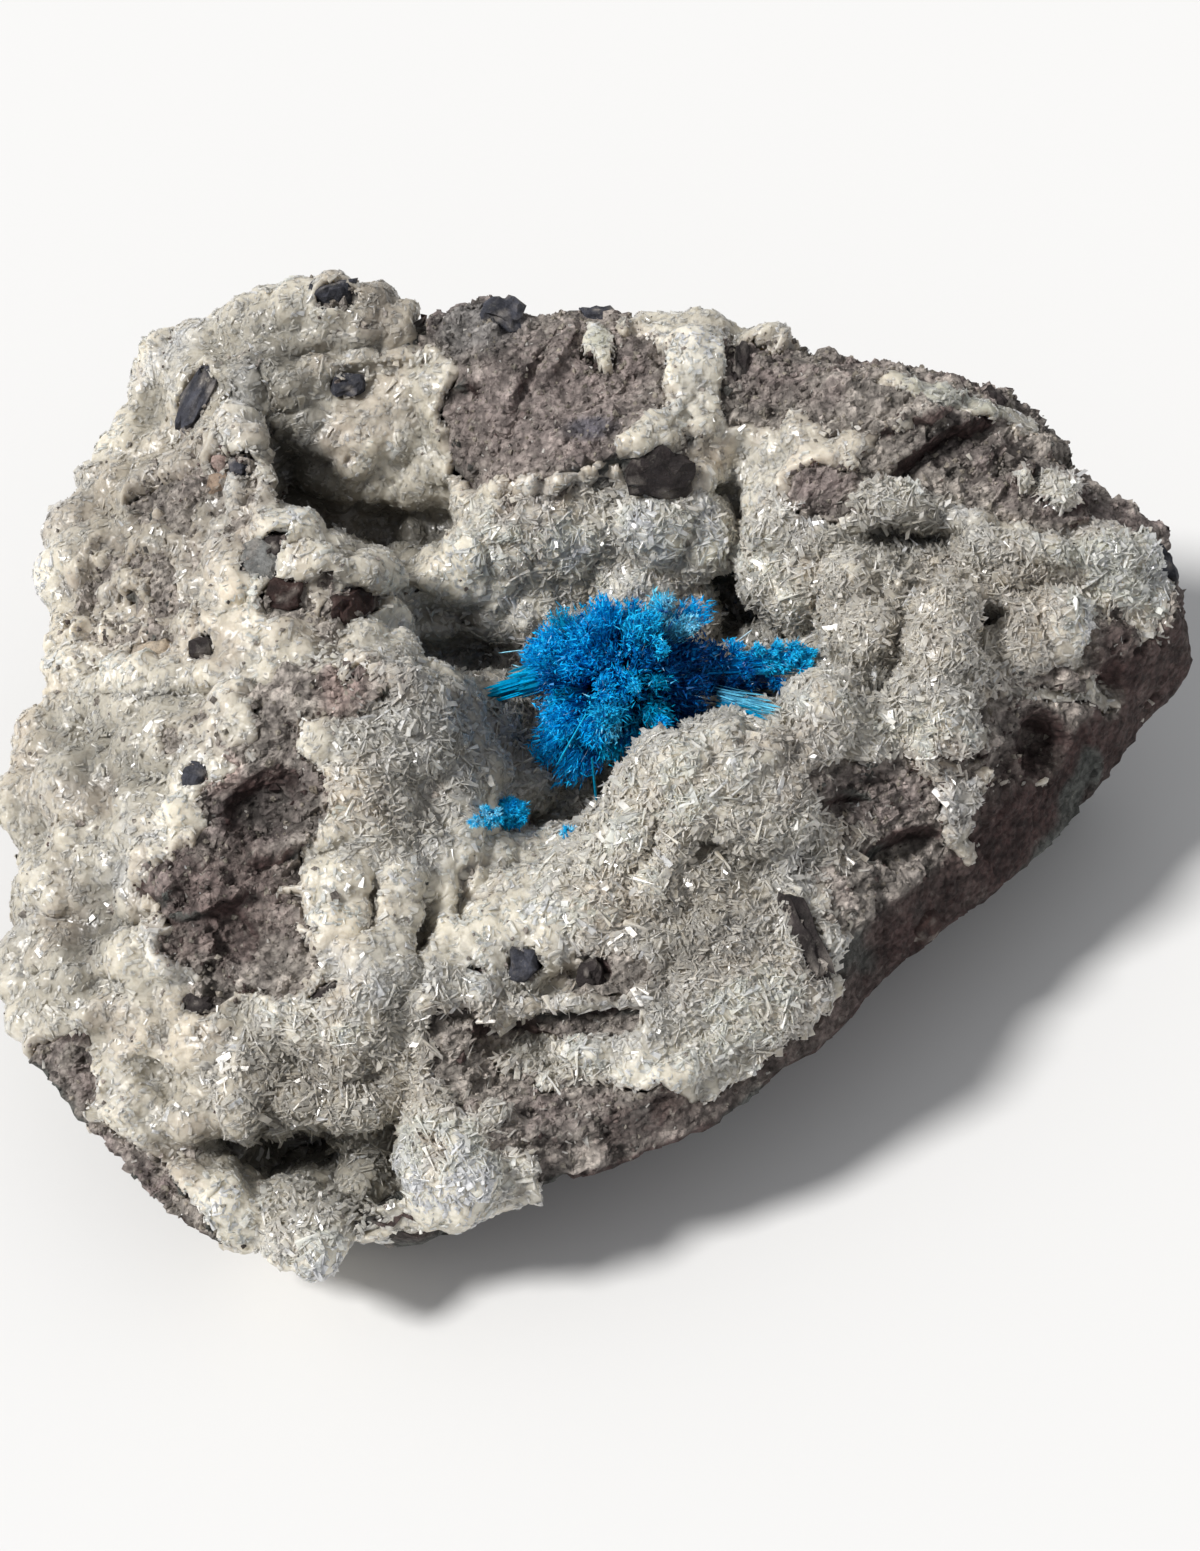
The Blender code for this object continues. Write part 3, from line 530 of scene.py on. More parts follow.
# The druse's blades are shown in five pieces: each takes those of its region that are left.
DRUSE_PIECES = {
    "druse_hollow": lambda x, y: (np.abs(x - 1) < 14) & (np.abs(y - 4) < 13),
    "druse_left": lambda x, y: x < -13,
    "druse_right": lambda x, y: x > 15,
    "druse_front": lambda x, y: y < 0,
    "druse_back": lambda x, y: y >= 0,
}

# The blue growths

# Deep blue at the blades' roots and in the ball's core: partly the crystal's deeper blue, partly
# painted shade where blades crowd.
ROOT_BLUE_AND_PAINTED_SHADE = (0.000, 0.038, 0.190)
# Dark blue painted as shade: on the ball's right side and under the arm.
PAINTED_SHADE_BLUE = (0.000, 0.034, 0.165)
NAVY = (0.000, 0.088, 0.340)
AZURE = (0.000, 0.385, 0.940)
CYAN = (0.015, 0.540, 0.980)
TEAL = (0.000, 0.280, 0.500)
PALE = (0.300, 0.680, 0.880)
MIST = (0.120, 0.460, 0.640)
WHITE = (0.640, 0.850, 0.950)

# The main rosette's ball: its middle and its half sizes across, up and along the line of sight
# in millimetres, the share of a half size at which tufts start, the radius in which nothing
# else grows, and the size of the dark core, painted shade deep in the ball, as a share of the
# ball's.
BALL_MIDDLE = np.array((0.70, 4.20, 20.0))
BALL_RADII = (7.15, 6.50, 6.60)
BALL_ROOT = 0.42
BALL_CLEAR = 5.6
CORE_SHARE = 0.66

# The tufts of the ball, as pixels of their tips: across, down, how far they fan out in degrees,
# blades, width of a blade in millimetres, reach as a share of the ball's radius, and colour.
TUFTS = {
    "left fibres": (521, 652, 10, 420, 0.15, 1.00, AZURE),
    "left fibres, upper": (532, 632, 10, 340, 0.14, 0.98, AZURE),
    "left fibres, lower": (528, 676, 9, 220, 0.14, 0.92, NAVY),
    "left, in front": (556, 650, 13, 380, 0.15, 0.98, AZURE),
    "top left fringe": (549, 609, 9, 220, 0.12, 0.98, TEAL),
    "top left": (575, 624, 12, 320, 0.14, 0.98, AZURE),
    "top": (600, 596, 11, 380, 0.15, 1.00, AZURE),
    "bright top": (646, 616, 11, 380, 0.14, 1.06, CYAN),
    "pale top": (667, 594, 9, 200, 0.12, 1.04, MIST),
    "bright middle": (604, 714, 12, 300, 0.14, 1.06, CYAN),
    "middle": (618, 684, 13, 240, 0.14, 0.98, AZURE),
    "middle, upper": (600, 652, 12, 160, 0.13, 0.80, NAVY),
    "middle, lower": (590, 742, 12, 320, 0.14, 1.00, AZURE),
    "small pale tuft": (610, 736, 6, 80, 0.10, 1.02, MIST),
    "lower left": (548, 728, 12, 380, 0.15, 1.00, AZURE),
    "lower left, outer": (535, 760, 10, 320, 0.14, 1.02, AZURE),
    "bottom": (577, 776, 11, 360, 0.14, 1.00, NAVY),
    "bottom, outer": (558, 786, 8, 140, 0.12, 1.00, AZURE),
    "lower right": (664, 722, 11, 260, 0.13, 0.98, TEAL),
    "right, in front": (652, 655, 9, 160, 0.11, 0.94, NAVY),
    "right, first small": (668, 682, 6, 80, 0.10, 0.96, TEAL),
    "right, second small": (636, 690, 6, 80, 0.10, 0.98, AZURE),
    "right, third small": (690, 668, 7, 100, 0.10, 0.95, PAINTED_SHADE_BLUE),
    "right, blue": (708, 602, 7, 200, 0.15, 1.00, AZURE),
    "right, pale": (690, 620, 6, 110, 0.11, 1.04, MIST),
    "right": (716, 646, 11, 260, 0.14, 0.98, PAINTED_SHADE_BLUE),
    "right, lower": (712, 690, 11, 260, 0.14, 0.98, PAINTED_SHADE_BLUE),
}

# The tufts that fill the ball between those, and its core, dark as painted shade: how many, and
# blades in each.
FILLING_TUFTS = 110
FILLING_BLADES = 56
FILLING_COLOURS = (NAVY, AZURE, NAVY, AZURE, TEAL)
CORE_TUFTS = 50
CORE_BLADES = 16

# A tuft is drawn as needles: how many for each blade asked for, their width as a share of a
# blade's, how many end in a small needle, that one's least length in millimetres, and the
# share of needles painted white as glints.
NEEDLES_TO_A_BLADE = 1.40
NEEDLE_WIDTH = 0.80
FROST_SHARE = 0.80
SHORTEST_FROST = 0.30
PAINTED_GLINT_NEEDLES = 0.014

# Bundles of blades side by side, as pixels of their two ends: how much nearer than the ball's
# middle they start, how far in front of the stone they end, thickness, blades, width, colour.
BUNDLES = {
    "arm": ((698, 668), (812, 660), 0.5, 1.1, 0.60, 130, 0.12, AZURE),
    "arm, lower edge": ((740, 672), (804, 670), 0.8, 1.0, 0.30, 40, 0.12, CYAN),
    "arm, underside": ((690, 684), (776, 684), 0.0, 0.8, 0.80, 150, 0.12, PAINTED_SHADE_BLUE),
    "pale bundle": ((716, 695), (774, 712), 1.0, 0.9, 0.40, 120, 0.11, MIST),
    "pale bundle, under edge": ((712, 704), (768, 717), 1.0, 0.8, 0.25, 40, 0.12, TEAL),
    "wedge": ((552, 678), (490, 695), 1.0, 1.0, 0.42, 200, 0.22, TEAL),
    "wedge, upper edge": ((552, 664), (508, 682), 1.0, 1.3, 0.36, 90, 0.14, TEAL),
    "pale strand of the left": ((550, 672), (512, 669), 1.5, 2.0, 0.18, 24, 0.08, PALE),
}

# Small tufts along the arm, as pixels: across, down, how much nearer than the arm's middle line,
# reach in millimetres, and colour.
ARM_START = (698, 668)
ARM_END = (812, 660)
KNOTS = {
    "root, low": (706, 684, 0.0, 1.0, PAINTED_SHADE_BLUE),
    "root, high": (712, 656, 0.1, 0.9, NAVY),
    "underside, first": (728, 690, 0.1, 1.0, PAINTED_SHADE_BLUE),
    "underside, second": (750, 684, 0.1, 0.9, PAINTED_SHADE_BLUE),
    "underside, third": (772, 682, 0.1, 0.7, NAVY),
    "first": (722, 664, 0.3, 0.9, PAINTED_SHADE_BLUE),
    "second": (736, 652, 0.5, 0.9, AZURE),
    "third": (746, 668, 0.6, 0.8, NAVY),
    "fourth": (756, 652, 0.6, 0.8, CYAN),
    "fifth": (766, 664, 0.6, 0.8, CYAN),
    "sixth": (776, 652, 0.6, 0.8, CYAN),
    "seventh": (786, 664, 0.7, 0.8, CYAN),
    "eighth": (794, 652, 0.7, 0.8, CYAN),
    "ninth": (802, 664, 0.8, 0.8, CYAN),
    "tenth": (808, 654, 0.7, 0.6, CYAN),
}

# Small bright tufts on the ball's near side: across, down, reach in millimetres, and colour.
CLUMPS = {
    "leaf": (603, 686, 0.9, AZURE),
    "bright middle": (604, 716, 0.9, CYAN),
    "bright top": (652, 618, 1.1, CYAN),
    "bright top, low": (664, 646, 0.8, CYAN),
    "pale top": (668, 600, 0.8, PALE),
    "left of the top": (586, 626, 0.9, AZURE),
    "left": (548, 648, 0.9, AZURE),
    "lower right": (662, 722, 0.7, AZURE),
    "right, pale": (692, 622, 0.8, PALE),
    "small of the right": (636, 686, 0.6, CYAN),
}

# How many tufts make a knot and a clump, and blades in each.
KNOT_TUFTS = 9
CLUMP_TUFTS = 7
TUSSOCK_BLADES = 22

# Single blades in front of the ball: pixels of the two ends, width in millimetres, colour.
SINGLES = {
    "long blade": ((586, 714), (554, 770), 0.13, CYAN),
    "needle below": ((592, 758), (597, 808), 0.18, TEAL),
    "white needle": ((736, 642), (753, 629), 0.10, WHITE),
    "clear needle": ((522, 650), (498, 653), 0.06, PALE),
}

# The small growths, as pixels of their middles: across, down, how far in front of the stone,
# half sizes in millimetres, tufts, blades, how far they fan out, width of a blade, and colours.
SMALL_ROSETTE = {
    "body": (511, 813, 1.5, (1.40, 1.25, 1.3), 56, 34, 20, 0.14, (AZURE, CYAN, CYAN)),
    "bright left end": (489, 817, 1.3, (1.1, 0.9, 0.8), 20, 30, 20, 0.11, (CYAN, PALE)),
    "tail": (476, 822, 1.0, (0.6, 0.40, 0.4), 10, 20, 20, 0.09, (CYAN, PALE)),
}
WISP = {
    "pale tuft": (569, 833, 0.9, (0.65, 0.58, 0.5), 14, 24, 18, 0.09, (PALE, CYAN)),
}


# Numbers and fields

CORNERS = [np.array(corner) for corner in itertools.product((0, 1), repeat=3)]
NEIGHBOURS = [np.array(step) for step in itertools.product((-1, 0, 1), repeat=3)]
TURNED = np.array(Matrix.Rotation(0.9, 3, Vector((1, 2, 3))))


def smooth_step(value, low, high):
    """0 at low, 1 at high, and smooth between."""
    share = np.clip((value - low) / (high - low), 0, 1)
    return share * share * (3 - 2 * share)


def hashed(cells, seed):
    """A repeatable random number in 0 to 1 for each whole-number cell."""
    x, y, z = (cells[:, axis].astype(np.uint32) for axis in range(3))
    mixed = x * np.uint32(374761393) + y * np.uint32(668265263) + z * np.uint32(2246822519)
    mixed = mixed ^ np.uint32(seed * 40503 % 4294967296)
    mixed = (mixed ^ (mixed >> np.uint32(15))) * np.uint32(2246822519)
    mixed = (mixed ^ (mixed >> np.uint32(13))) * np.uint32(3266489917)
    return (mixed ^ (mixed >> np.uint32(16))) / 4294967295.0


def soft_noise(points, size, seed, octaves=1):
    """Smooth noise in -1 to 1 whose largest waves are about as long as size."""
    total = np.zeros(len(points))
    weight = 1.0
    weights = 0.0
    places = np.asarray(points, float)
    for octave in range(octaves):
        places = places @ TURNED
        scaled = places / size
        cells = np.floor(scaled).astype(np.int64)
        share = smooth_step(scaled - cells, 0, 1)
        for corner in CORNERS:
            part = np.prod(np.where(corner, share, 1 - share), axis=1)
            total += weight * part * (2 * hashed(cells + corner, seed + octave) - 1)
        weights += weight
        weight *= 0.5
        size *= 0.5
    return total / weights


def nearest_seeds(points, size, seed):
    """Nearest of one jittered seed to a cell: distance, offset from it, and its cell."""
    scaled = np.asarray(points, float) / size
    cells = np.floor(scaled).astype(np.int64)
    best = np.full(len(scaled), 9.0)
    offset = np.zeros_like(scaled)
    owner = np.zeros_like(cells)
    for step in NEIGHBOURS:
        cell = cells + step
        jitter = np.stack([hashed(cell, seed + axis) for axis in range(3)], axis=1)
        gap = scaled - cell - jitter
        distance = np.linalg.norm(gap, axis=1)
        closer = distance < best
        best[closer] = distance[closer]
        offset[closer] = gap[closer]
        owner[closer] = cell[closer]
    return best, offset, owner


def lumps(points, size, seed):
    """Rounded lumps side by side, like a cauliflower, in about -0.6 to 0.5."""
    distance, _, owner = nearest_seeds(points, size, seed)
    return (0.7 + 0.6 * hashed(owner, seed + 7)) * (1 - 1.3 * distance**2) - 0.5


def facets(points, size, seed):
    """A surface broken into slanting flat facets, in about -1 to 1."""
    _, offset, owner = nearest_seeds(points, size, seed)
    slant = np.stack([2 * hashed(owner, seed + 5 + axis) - 1 for axis in range(3)], axis=1)
    return (offset * slant).sum(axis=1) * 1.6 + 0.5 * (hashed(owner, seed + 9) - 0.5)


def pits(points, size, seed, share):
    """Round pits at some of the seeds, from 0 to -1 at their middles."""
    distance, _, owner = nearest_seeds(points, size, seed)
    chosen = hashed(owner, seed + 3) < share
    radius = 0.18 + 0.22 * hashed(owner, seed + 4)
    return -np.where(chosen, np.clip(1 - (distance / radius) ** 2, 0, 1), 0)


# Layers of the surface: height in millimetres, field, its size in millimetres, its seed, and
# what else the field takes.
TOP_LAYERS = (
    (0.42, facets, 3.6, 3),
    (0.26, facets, 1.5, 17),
    (0.30, soft_noise, 1.3, 23, 2),
    (0.40, lumps, 1.5, 29),
    (0.26, lumps, 0.85, 33),
    (0.35, pits, 1.9, 41, 0.30),
)
SIDE_LAYERS = (
    (0.30, facets, 6.5, 57),
    (0.06, facets, 2.0, 61),
    (0.25, soft_noise, 5.0, 67, 2),
    (0.15, pits, 3.0, 71, 0.25),
)
LARGE_LUMPS = (
    (1.45, lumps, 4.6, 83),
    (0.80, soft_noise, 6.0, 87, 2),
    (0.80, lumps, 2.2, 89),
)
SMALL_LUMPS = ((0.20, lumps, 1.0, 97),)
RAGGED_EDGE = (
    (0.42, soft_noise, 3.2, 31, 2),
    (0.44, soft_noise, 1.1, 37, 2),
)


def layered(points, layers):
    return sum(height * field(points, *settings) for height, field, *settings in layers)


# Meshes as arrays

def mesh_arrays(mesh):
    """Points in millimetres and triangles of a mesh in metres."""
    points = np.empty(3 * len(mesh.vertices))
    mesh.vertices.foreach_get("co", points)
    mesh.calc_loop_triangles()
    triangles = np.empty(3 * len(mesh.loop_triangles), np.int32)
    mesh.loop_triangles.foreach_get("vertices", triangles)
    return points.reshape(-1, 3) / MM, triangles.reshape(-1, 3)


def joined_corners(points, triangles):
    """The same mesh with vertices at one place made one."""
    rounded = np.round(points, 4)
    places, first, number = np.unique(rounded, axis=0, return_index=True, return_inverse=True)
    triangles = number.reshape(-1)[triangles]
    whole = (triangles != np.roll(triangles, 1, axis=1)).all(axis=1)
    return points[first], triangles[whole]


def mesh_of(name, points, triangles, smooth):
    """A mesh in metres from points in millimetres and triangles."""
    mesh = bpy.data.meshes.new(name)
    mesh.vertices.add(len(points))
    mesh.vertices.foreach_set("co", (np.asarray(points) * MM).astype(np.float32).ravel())
    mesh.loops.add(3 * len(triangles))
    mesh.loops.foreach_set("vertex_index", np.asarray(triangles, np.int32).ravel())
    mesh.polygons.add(len(triangles))
    mesh.polygons.foreach_set("loop_start", np.arange(0, 3 * len(triangles), 3, dtype=np.int32))
    mesh.update(calc_edges=True)
    if smooth:
        mesh.shade_smooth()
    else:
        mesh.shade_flat()
    return mesh


def vertex_normals(points, triangles):
    first, second, third = (points[triangles[:, corner]] for corner in range(3))
    area = np.cross(second - first, third - first)
    total = np.zeros_like(points)
    for corner in range(3):
        for axis in range(3):
            total[:, axis] += np.bincount(triangles[:, corner], area[:, axis], len(points))
    return total / np.maximum(np.linalg.norm(total, axis=1, keepdims=True), 1e-12)


def smoothed(points, triangles, rounds):
    """Evens the surface out without shrinking it: each round draws in and lets out."""
    ends = np.concatenate([triangles[:, (0, 1)], triangles[:, (1, 2)], triangles[:, (2, 0)]])
    ends = np.unique(np.sort(ends, axis=1), axis=0)
    start = np.concatenate([ends[:, 0], ends[:, 1]])
    other = np.concatenate([ends[:, 1], ends[:, 0]])
    count = np.bincount(start, minlength=len(points))[:, None]
    for share in (0.55, -0.57) * rounds:
        mean = [np.bincount(start, points[other, axis], len(points)) for axis in range(3)]
        points = points + share * (np.stack(mean, axis=1) / count - points)
    return points


def thinned(points, triangles, cells):
    """Merges vertices that share a cell of their own size, and keeps those whose size is 0.

    Also gives the number of each kept vertex.
    """
    numbers = np.arange(len(points))
    for size in np.unique(cells[cells > 0]):
        merged = np.flatnonzero(cells == size)
        places = np.floor(points[merged] / size).astype(np.int64)
        _, first, group = np.unique(places, axis=0, return_index=True, return_inverse=True)
        numbers[merged] = merged[first][group.reshape(-1)]
    triangles = numbers[triangles]
    whole = (triangles != np.roll(triangles, 1, axis=1)).all(axis=1)
    kept, triangles = np.unique(triangles[whole], return_inverse=True)
    return points[kept], triangles.reshape(-1, 3), kept


def add_colours(mesh, name, colours):
    attribute = mesh.attributes.new(name, "FLOAT_COLOR", "POINT")
    whole = np.concatenate([colours, np.ones((len(colours), 1))], axis=1)
    attribute.data.foreach_set("color", whole.astype(np.float32).ravel())


def add_vectors(mesh, name, vectors):
    attribute = mesh.attributes.new(name, "FLOAT_VECTOR", "POINT")
    attribute.data.foreach_set("vector", vectors.astype(np.float32).ravel())


def finished_piece(name, mesh, material, node):
    """A shown piece that stands for a node of the frame."""
    mesh.materials.append(material)
    obj = bpy.data.objects.new(name, mesh)
    bpy.context.scene.collection.objects.link(obj)
    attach(obj, "root")
    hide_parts(node)
    return obj


# Lines of sight

class PhotoView:
    """Finds the photograph's pixels on the stone."""

    def __init__(self):
        tilt = math.radians(CAMERA_ELEVATION)
        self.right = np.array((1.0, 0.0, 0.0))
        self.ahead = np.array((0.0, math.cos(tilt), -math.sin(tilt)))
        self.up = np.array((0.0, math.sin(tilt), math.cos(tilt)))
        self.eye = np.array(CAMERA_TARGET) - CAMERA_DISTANCE * self.ahead
        self.focal = LENS / SENSOR * PHOTO_HEIGHT
        self.stone = None

    def look_at(self, points, triangles):
        self.stone = BVHTree.FromPolygons(points.tolist(), triangles.tolist())

    def line(self, across, down):
        """The line of sight through a pixel, one unit long along the camera's direction."""
        right = (across - PHOTO_WIDTH / 2) / self.focal
        up = (PHOTO_HEIGHT / 2 - down) / self.focal
        return self.ahead + right * self.right + up * self.up

    def level_with(self, place, across, down, nearer=0.0):
        """The point seen at a pixel that is as far off as a place, or nearer by an amount."""
        reach = np.dot(place - self.eye, self.ahead) - nearer
        return self.eye + self.line(across, down) * reach

    def in_front(self, across, down, nearer):
        """The point seen at a pixel a little in front of the stone."""
        place, _ = self.spot(across, down)
        return self.level_with(place, across, down, nearer)

    def spot(self, across, down):
        """Where the line of sight through a pixel meets the stone, and the normal there."""
        line = self.line(across, down)
        place, normal, _, _ = self.stone.ray_cast(Vector(self.eye), Vector(line).normalized())
        if place is None:
            place, normal, _, _ = self.nearest_to_line(line)
        return np.array(place), np.array(normal)

    def nearest_to_line(self, line):
        """For a pixel just off the outline: the stone's point nearest the line of sight."""
        reach = np.dot(np.array(CAMERA_TARGET) - self.eye, self.ahead)
        return self.stone.find_nearest(Vector(self.eye + line * reach))

    def patch(self, points, across, down, half_length, half_width, turn):
        """Distance of the points from a spot's middle, 1 at the edge of its ellipse."""
        middle, _ = self.spot(across, down)
        pixel = np.dot(middle - self.eye, self.ahead) / self.focal
        off = points - middle
        right = off @ self.right / pixel
        up = off @ self.up / pixel
        deep = off @ self.ahead / pixel
        angle = math.radians(turn)
        along = (right * math.cos(angle) + up * math.sin(angle)) / half_length
        side = (up * math.cos(angle) - right * math.sin(angle)) / half_width
        return np.sqrt(along**2 + side**2 + (deep / (1.6 * max(half_length, half_width))) ** 2)


# The stone's form

def lifted_stone():
    """The basalt solid with its top raised to the top of the druse that covers it."""
    points, triangles = joined_corners(*mesh_arrays(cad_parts["basalt_matrix"].data))
    crust, _ = joined_corners(*mesh_arrays(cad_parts["stilbite_crust"].data))
    above = KDTree(len(crust))
    for number, place in enumerate(crust):
        above.insert((place[0], place[1], 0), number)
    above.balance()
    for number, place in enumerate(points):
        heights = [crust[i][2] for _, i, _ in above.find_range((place[0], place[1], 0), 0.02)]
        if heights and place[2] > 1:
            points[number, 2] = max(place[2], *heights)
    return points, triangles


def fine_form():
    """The stone's form in small even triangles."""
    points, triangles = lifted_stone()
    mesh = mesh_of("form", points, triangles, smooth=False)
    mesh.transform(Matrix.Scale(1 / MM, 4))
    obj = bpy.data.objects.new("form", mesh)
    bpy.context.scene.collection.objects.link(obj)
    remesh = obj.modifiers.new("even", "REMESH")
    remesh.mode = "VOXEL"
    remesh.voxel_size = VOXEL
    fine = bpy.data.meshes.new_from_object(obj.evaluated_get(bpy.context.evaluated_depsgraph_get()))
    bpy.data.objects.remove(obj)
    points, triangles = mesh_arrays(fine)
    return smoothed(points * MM, triangles, FORM_SMOOTHING), triangles


def coat_distance(points):
    """How far each point is from the druse's solid."""
    crust = BVHTree.FromPolygons(*[part.tolist() for part in mesh_arrays(
        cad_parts["stilbite_crust"].data)])
    return np.array([crust.find_nearest(Vector(place))[3] for place in points])


class Stone:
    """The fine surface: form, normals, where the druse is, and both surfaces on the form."""

    def __init__(self, view):
        self.form, self.triangles = fine_form()
        self.normals = vertex_normals(self.form, self.triangles)
        view.look_at(self.form, self.triangles)
        self.view = view
        self.solid_distance = coat_distance(self.form)
        self.shape_relief()
        self.normals = vertex_normals(self.form, self.triangles)
        self.druse = self.druse_share()
        self.coarse = self.within_any(COARSE_DRUSE, COARSE_EDGE)
        lump = self.druse_lumps()
        # The druse's tone holds painted shade in hollows and creases and painted light where it
        # stands out.
        self.tone = self.tone_and_painted_light(lump)
        step = smooth_step(self.druse, 0.36, 0.66)
        self.rough = self.basalt_roughness()
        self.basalt_rise = self.rough * (1 - 0.7 * step) - SUNK_BASALT * step
        self.basalt_rise += self.grains(BASALT_GRAIN, 5)
        self.crust_rise = -CRUST_DIP + (CRUST_DIP + CRUST_RISE) * step
        self.crust_rise += step * lump + self.grains(DRUSE_GRAIN, 6)
        self.basalt = self.kept_in_box(self.form + self.normals * self.basalt_rise[:, None])
        self.crust = self.kept_in_box(self.form + self.normals * self.crust_rise[:, None])
        higher = self.crust_rise > self.basalt_rise
        self.skin = np.where(higher[:, None], self.crust, self.basalt)
        self.skin_normals = vertex_normals(self.skin, self.triangles)

    def within(self, patch, edge):
        """1 well inside a patch of the photograph, and 0 outside it."""
        return smooth_step(self.view.patch(self.form, *patch), *edge)

    def within_any(self, patches, edge):
        return np.max([self.within(patch, edge) for patch in patches.values()], axis=0)

    def shape_relief(self):
        """Moves the form in and out by the stamps, and down where a crest is lower."""
        stamps = np.zeros(len(self.form))
        for *patch, height in RELIEF.values():
            stamps += height * self.within(patch, RELIEF_EDGE)
        self.stamps = stamps * smooth_step(self.form[:, 2], 1.0, 4.0)
        self.form = self.form + self.normals * self.stamps[:, None]
        for *patch, drop in LOWERED.values():
            self.form[:, 2] -= drop * self.within(patch, LOWERED_EDGE)

    def tone_and_painted_light(self, lump):
        """How bright the druse is: painted shade in the creases and hollows, painted light where it
        stands out.
        """
        deep = np.minimum(self.stamps, 0)
        proud = np.maximum(self.stamps, 0)
        tone = np.clip(1 + PAINTED_LIGHT_OF_LUMPS * lump + PAINTED_LIGHT_OF_RIBS * proud, 0.6, 1.2)
        tone *= np.clip(1 + PAINTED_SHADE_OF_HOLLOWS * deep, 0.30, 1)
        tone *= 1 + TONE_OF_CLOUDS * soft_noise(self.form, 2.6, 163, 2)
        for *patch, factor in DRUSE_TONE_AND_PAINTED_LIGHT.values():
            tone *= 1 + (factor - 1) * self.within(patch, TONE_AND_PAINTED_LIGHT_EDGE)
        return tone

    def druse_share(self):
        """From 0 on bare basalt to 1 deep in the druse; the druse's edge is at one half."""
        bare = self.within_any(BARE, BARE_EDGE)
        bare = np.maximum(bare, DUSTED_SHARE * self.within_any(DUSTED, DUSTED_EDGE))
        share = smooth_step(self.solid_distance, 3.0, 1.2) - bare
        share = np.maximum(share, self.within_any(ISLANDS, ISLAND_EDGE))
        for *patch, _, _ in STONES.values():
            share -= self.within(patch, STONE_EDGE)
        return share + layered(self.form, RAGGED_EDGE)

    def basalt_roughness(self):
        """Broken ledges and pits on the top, a gentler surface on the sides, a flat base."""
        even = 1 - EVEN_SHARE * self.within(EVEN_BASALT, EVEN_EDGE)
        top = layered(self.form, TOP_LAYERS) * even
        side = layered(self.form, SIDE_LAYERS)
        facing_up = smooth_step(self.normals[:, 2], 0.25, 0.62)
        return (side + (top - side) * facing_up) * smooth_step(self.form[:, 2], 0.0, 1.0)

    def grains(self, amount, seed):
        """A small random step in or out at each vertex, for a granular surface."""
        steps = np.random.default_rng(seed).uniform(-amount, amount, len(self.form))
        return steps * smooth_step(self.form[:, 2], 0.0, 1.0)

    def druse_lumps(self):
        """How far the druse's own lumps stand out: less where it is calm."""
        calm = 1 - CALM_SHARE * self.within_any(CALM, CALM_EDGE)
        return layered(self.form, LARGE_LUMPS) * calm + layered(self.form, SMALL_LUMPS)

    def kept_in_box(self, points):
        """Points held inside the solid's box, give or take a small margin, and above the floor."""
        low, high = (np.array(corner) / MM for corner in cad_box)
        margin = BOX_MARGIN * (high - low)
        points = np.clip(points, low - margin, high + margin)
        points[:, 2] = np.maximum(points[:, 2], 0)
        return points


# Colours over the stone

def mixed(colours, other, share):
    return colours + (np.asarray(other) - colours) * np.asarray(share)[:, None]


def clouded(colours, points, clouds):
    for colour, strength, size, seed, octaves, start, full in clouds:
        share = strength * smooth_step(soft_noise(points, size, seed, octaves), start, full)
        colours = mixed(colours, colour, share)
    return colours


def druse_colours(points, view, cover):
    """The druse's colour at points: grey to beige, with the photograph's tinted stretches.

    Where it covers thinly, rock dust browns it.
    """
    colours = clouded(np.tile(DRUSE, (len(points), 1)), points, DRUSE_CLOUDS)
    wander = 0.25 * soft_noise(points, 1.2, 109, 2)
    for *patch, colour in DRUSE_TINTS.values():
        away = view.patch(points, *patch) + wander
        colours = mixed(colours, colour, 0.6 * smooth_step(away, *DRUSE_TINT_EDGE))
    return mixed(colours, DRUSE_DIRT, 0.55 * smooth_step(cover, 0.85, 0.45))


def basalt_colours(points, normals, view, cover):
    """The basalt's colour at points: mauve-grey on top, and dark red-brown at the sides: partly
    the rock's own red, partly painted shade where the faces turn sideways and down.

    Near the druse it is dusty.
    """
    colours = clouded(np.tile(BASALT, (len(points), 1)), points, BASALT_CLOUDS)
    dusty = smooth_step(cover + 0.25 * soft_noise(points, 0.9, 139, 2), -0.05, 0.40)
    colours = mixed(colours, BASALT_DUST, 0.5 * dusty)
    wander = 0.4 * soft_noise(points, 1.5, 131, 3)
    for *patch, colour in BASALT_TINTS.values():
        away = view.patch(points, *patch) + wander
        colours = mixed(colours, colour, 0.75 * smooth_step(away, *BASALT_TINT_EDGE))
    # The sides are painted dark red-brown: partly the rock's own red, partly painted shade on faces
    # that turn sideways and down.
    side = smooth_step(normals[:, 2], 0.66, 0.26)
    colours = mixed(colours, BASALT_RED, 0.90 * side)
    colours *= (1 + 0.55 * soft_noise(points, 1.4, 141, 3))[:, None]
    green = smooth_step(soft_noise(points, 4.5, 137, 2), 0.06, 0.3)
    return mixed(colours, BASALT_GREEN, side * green)


# Materials

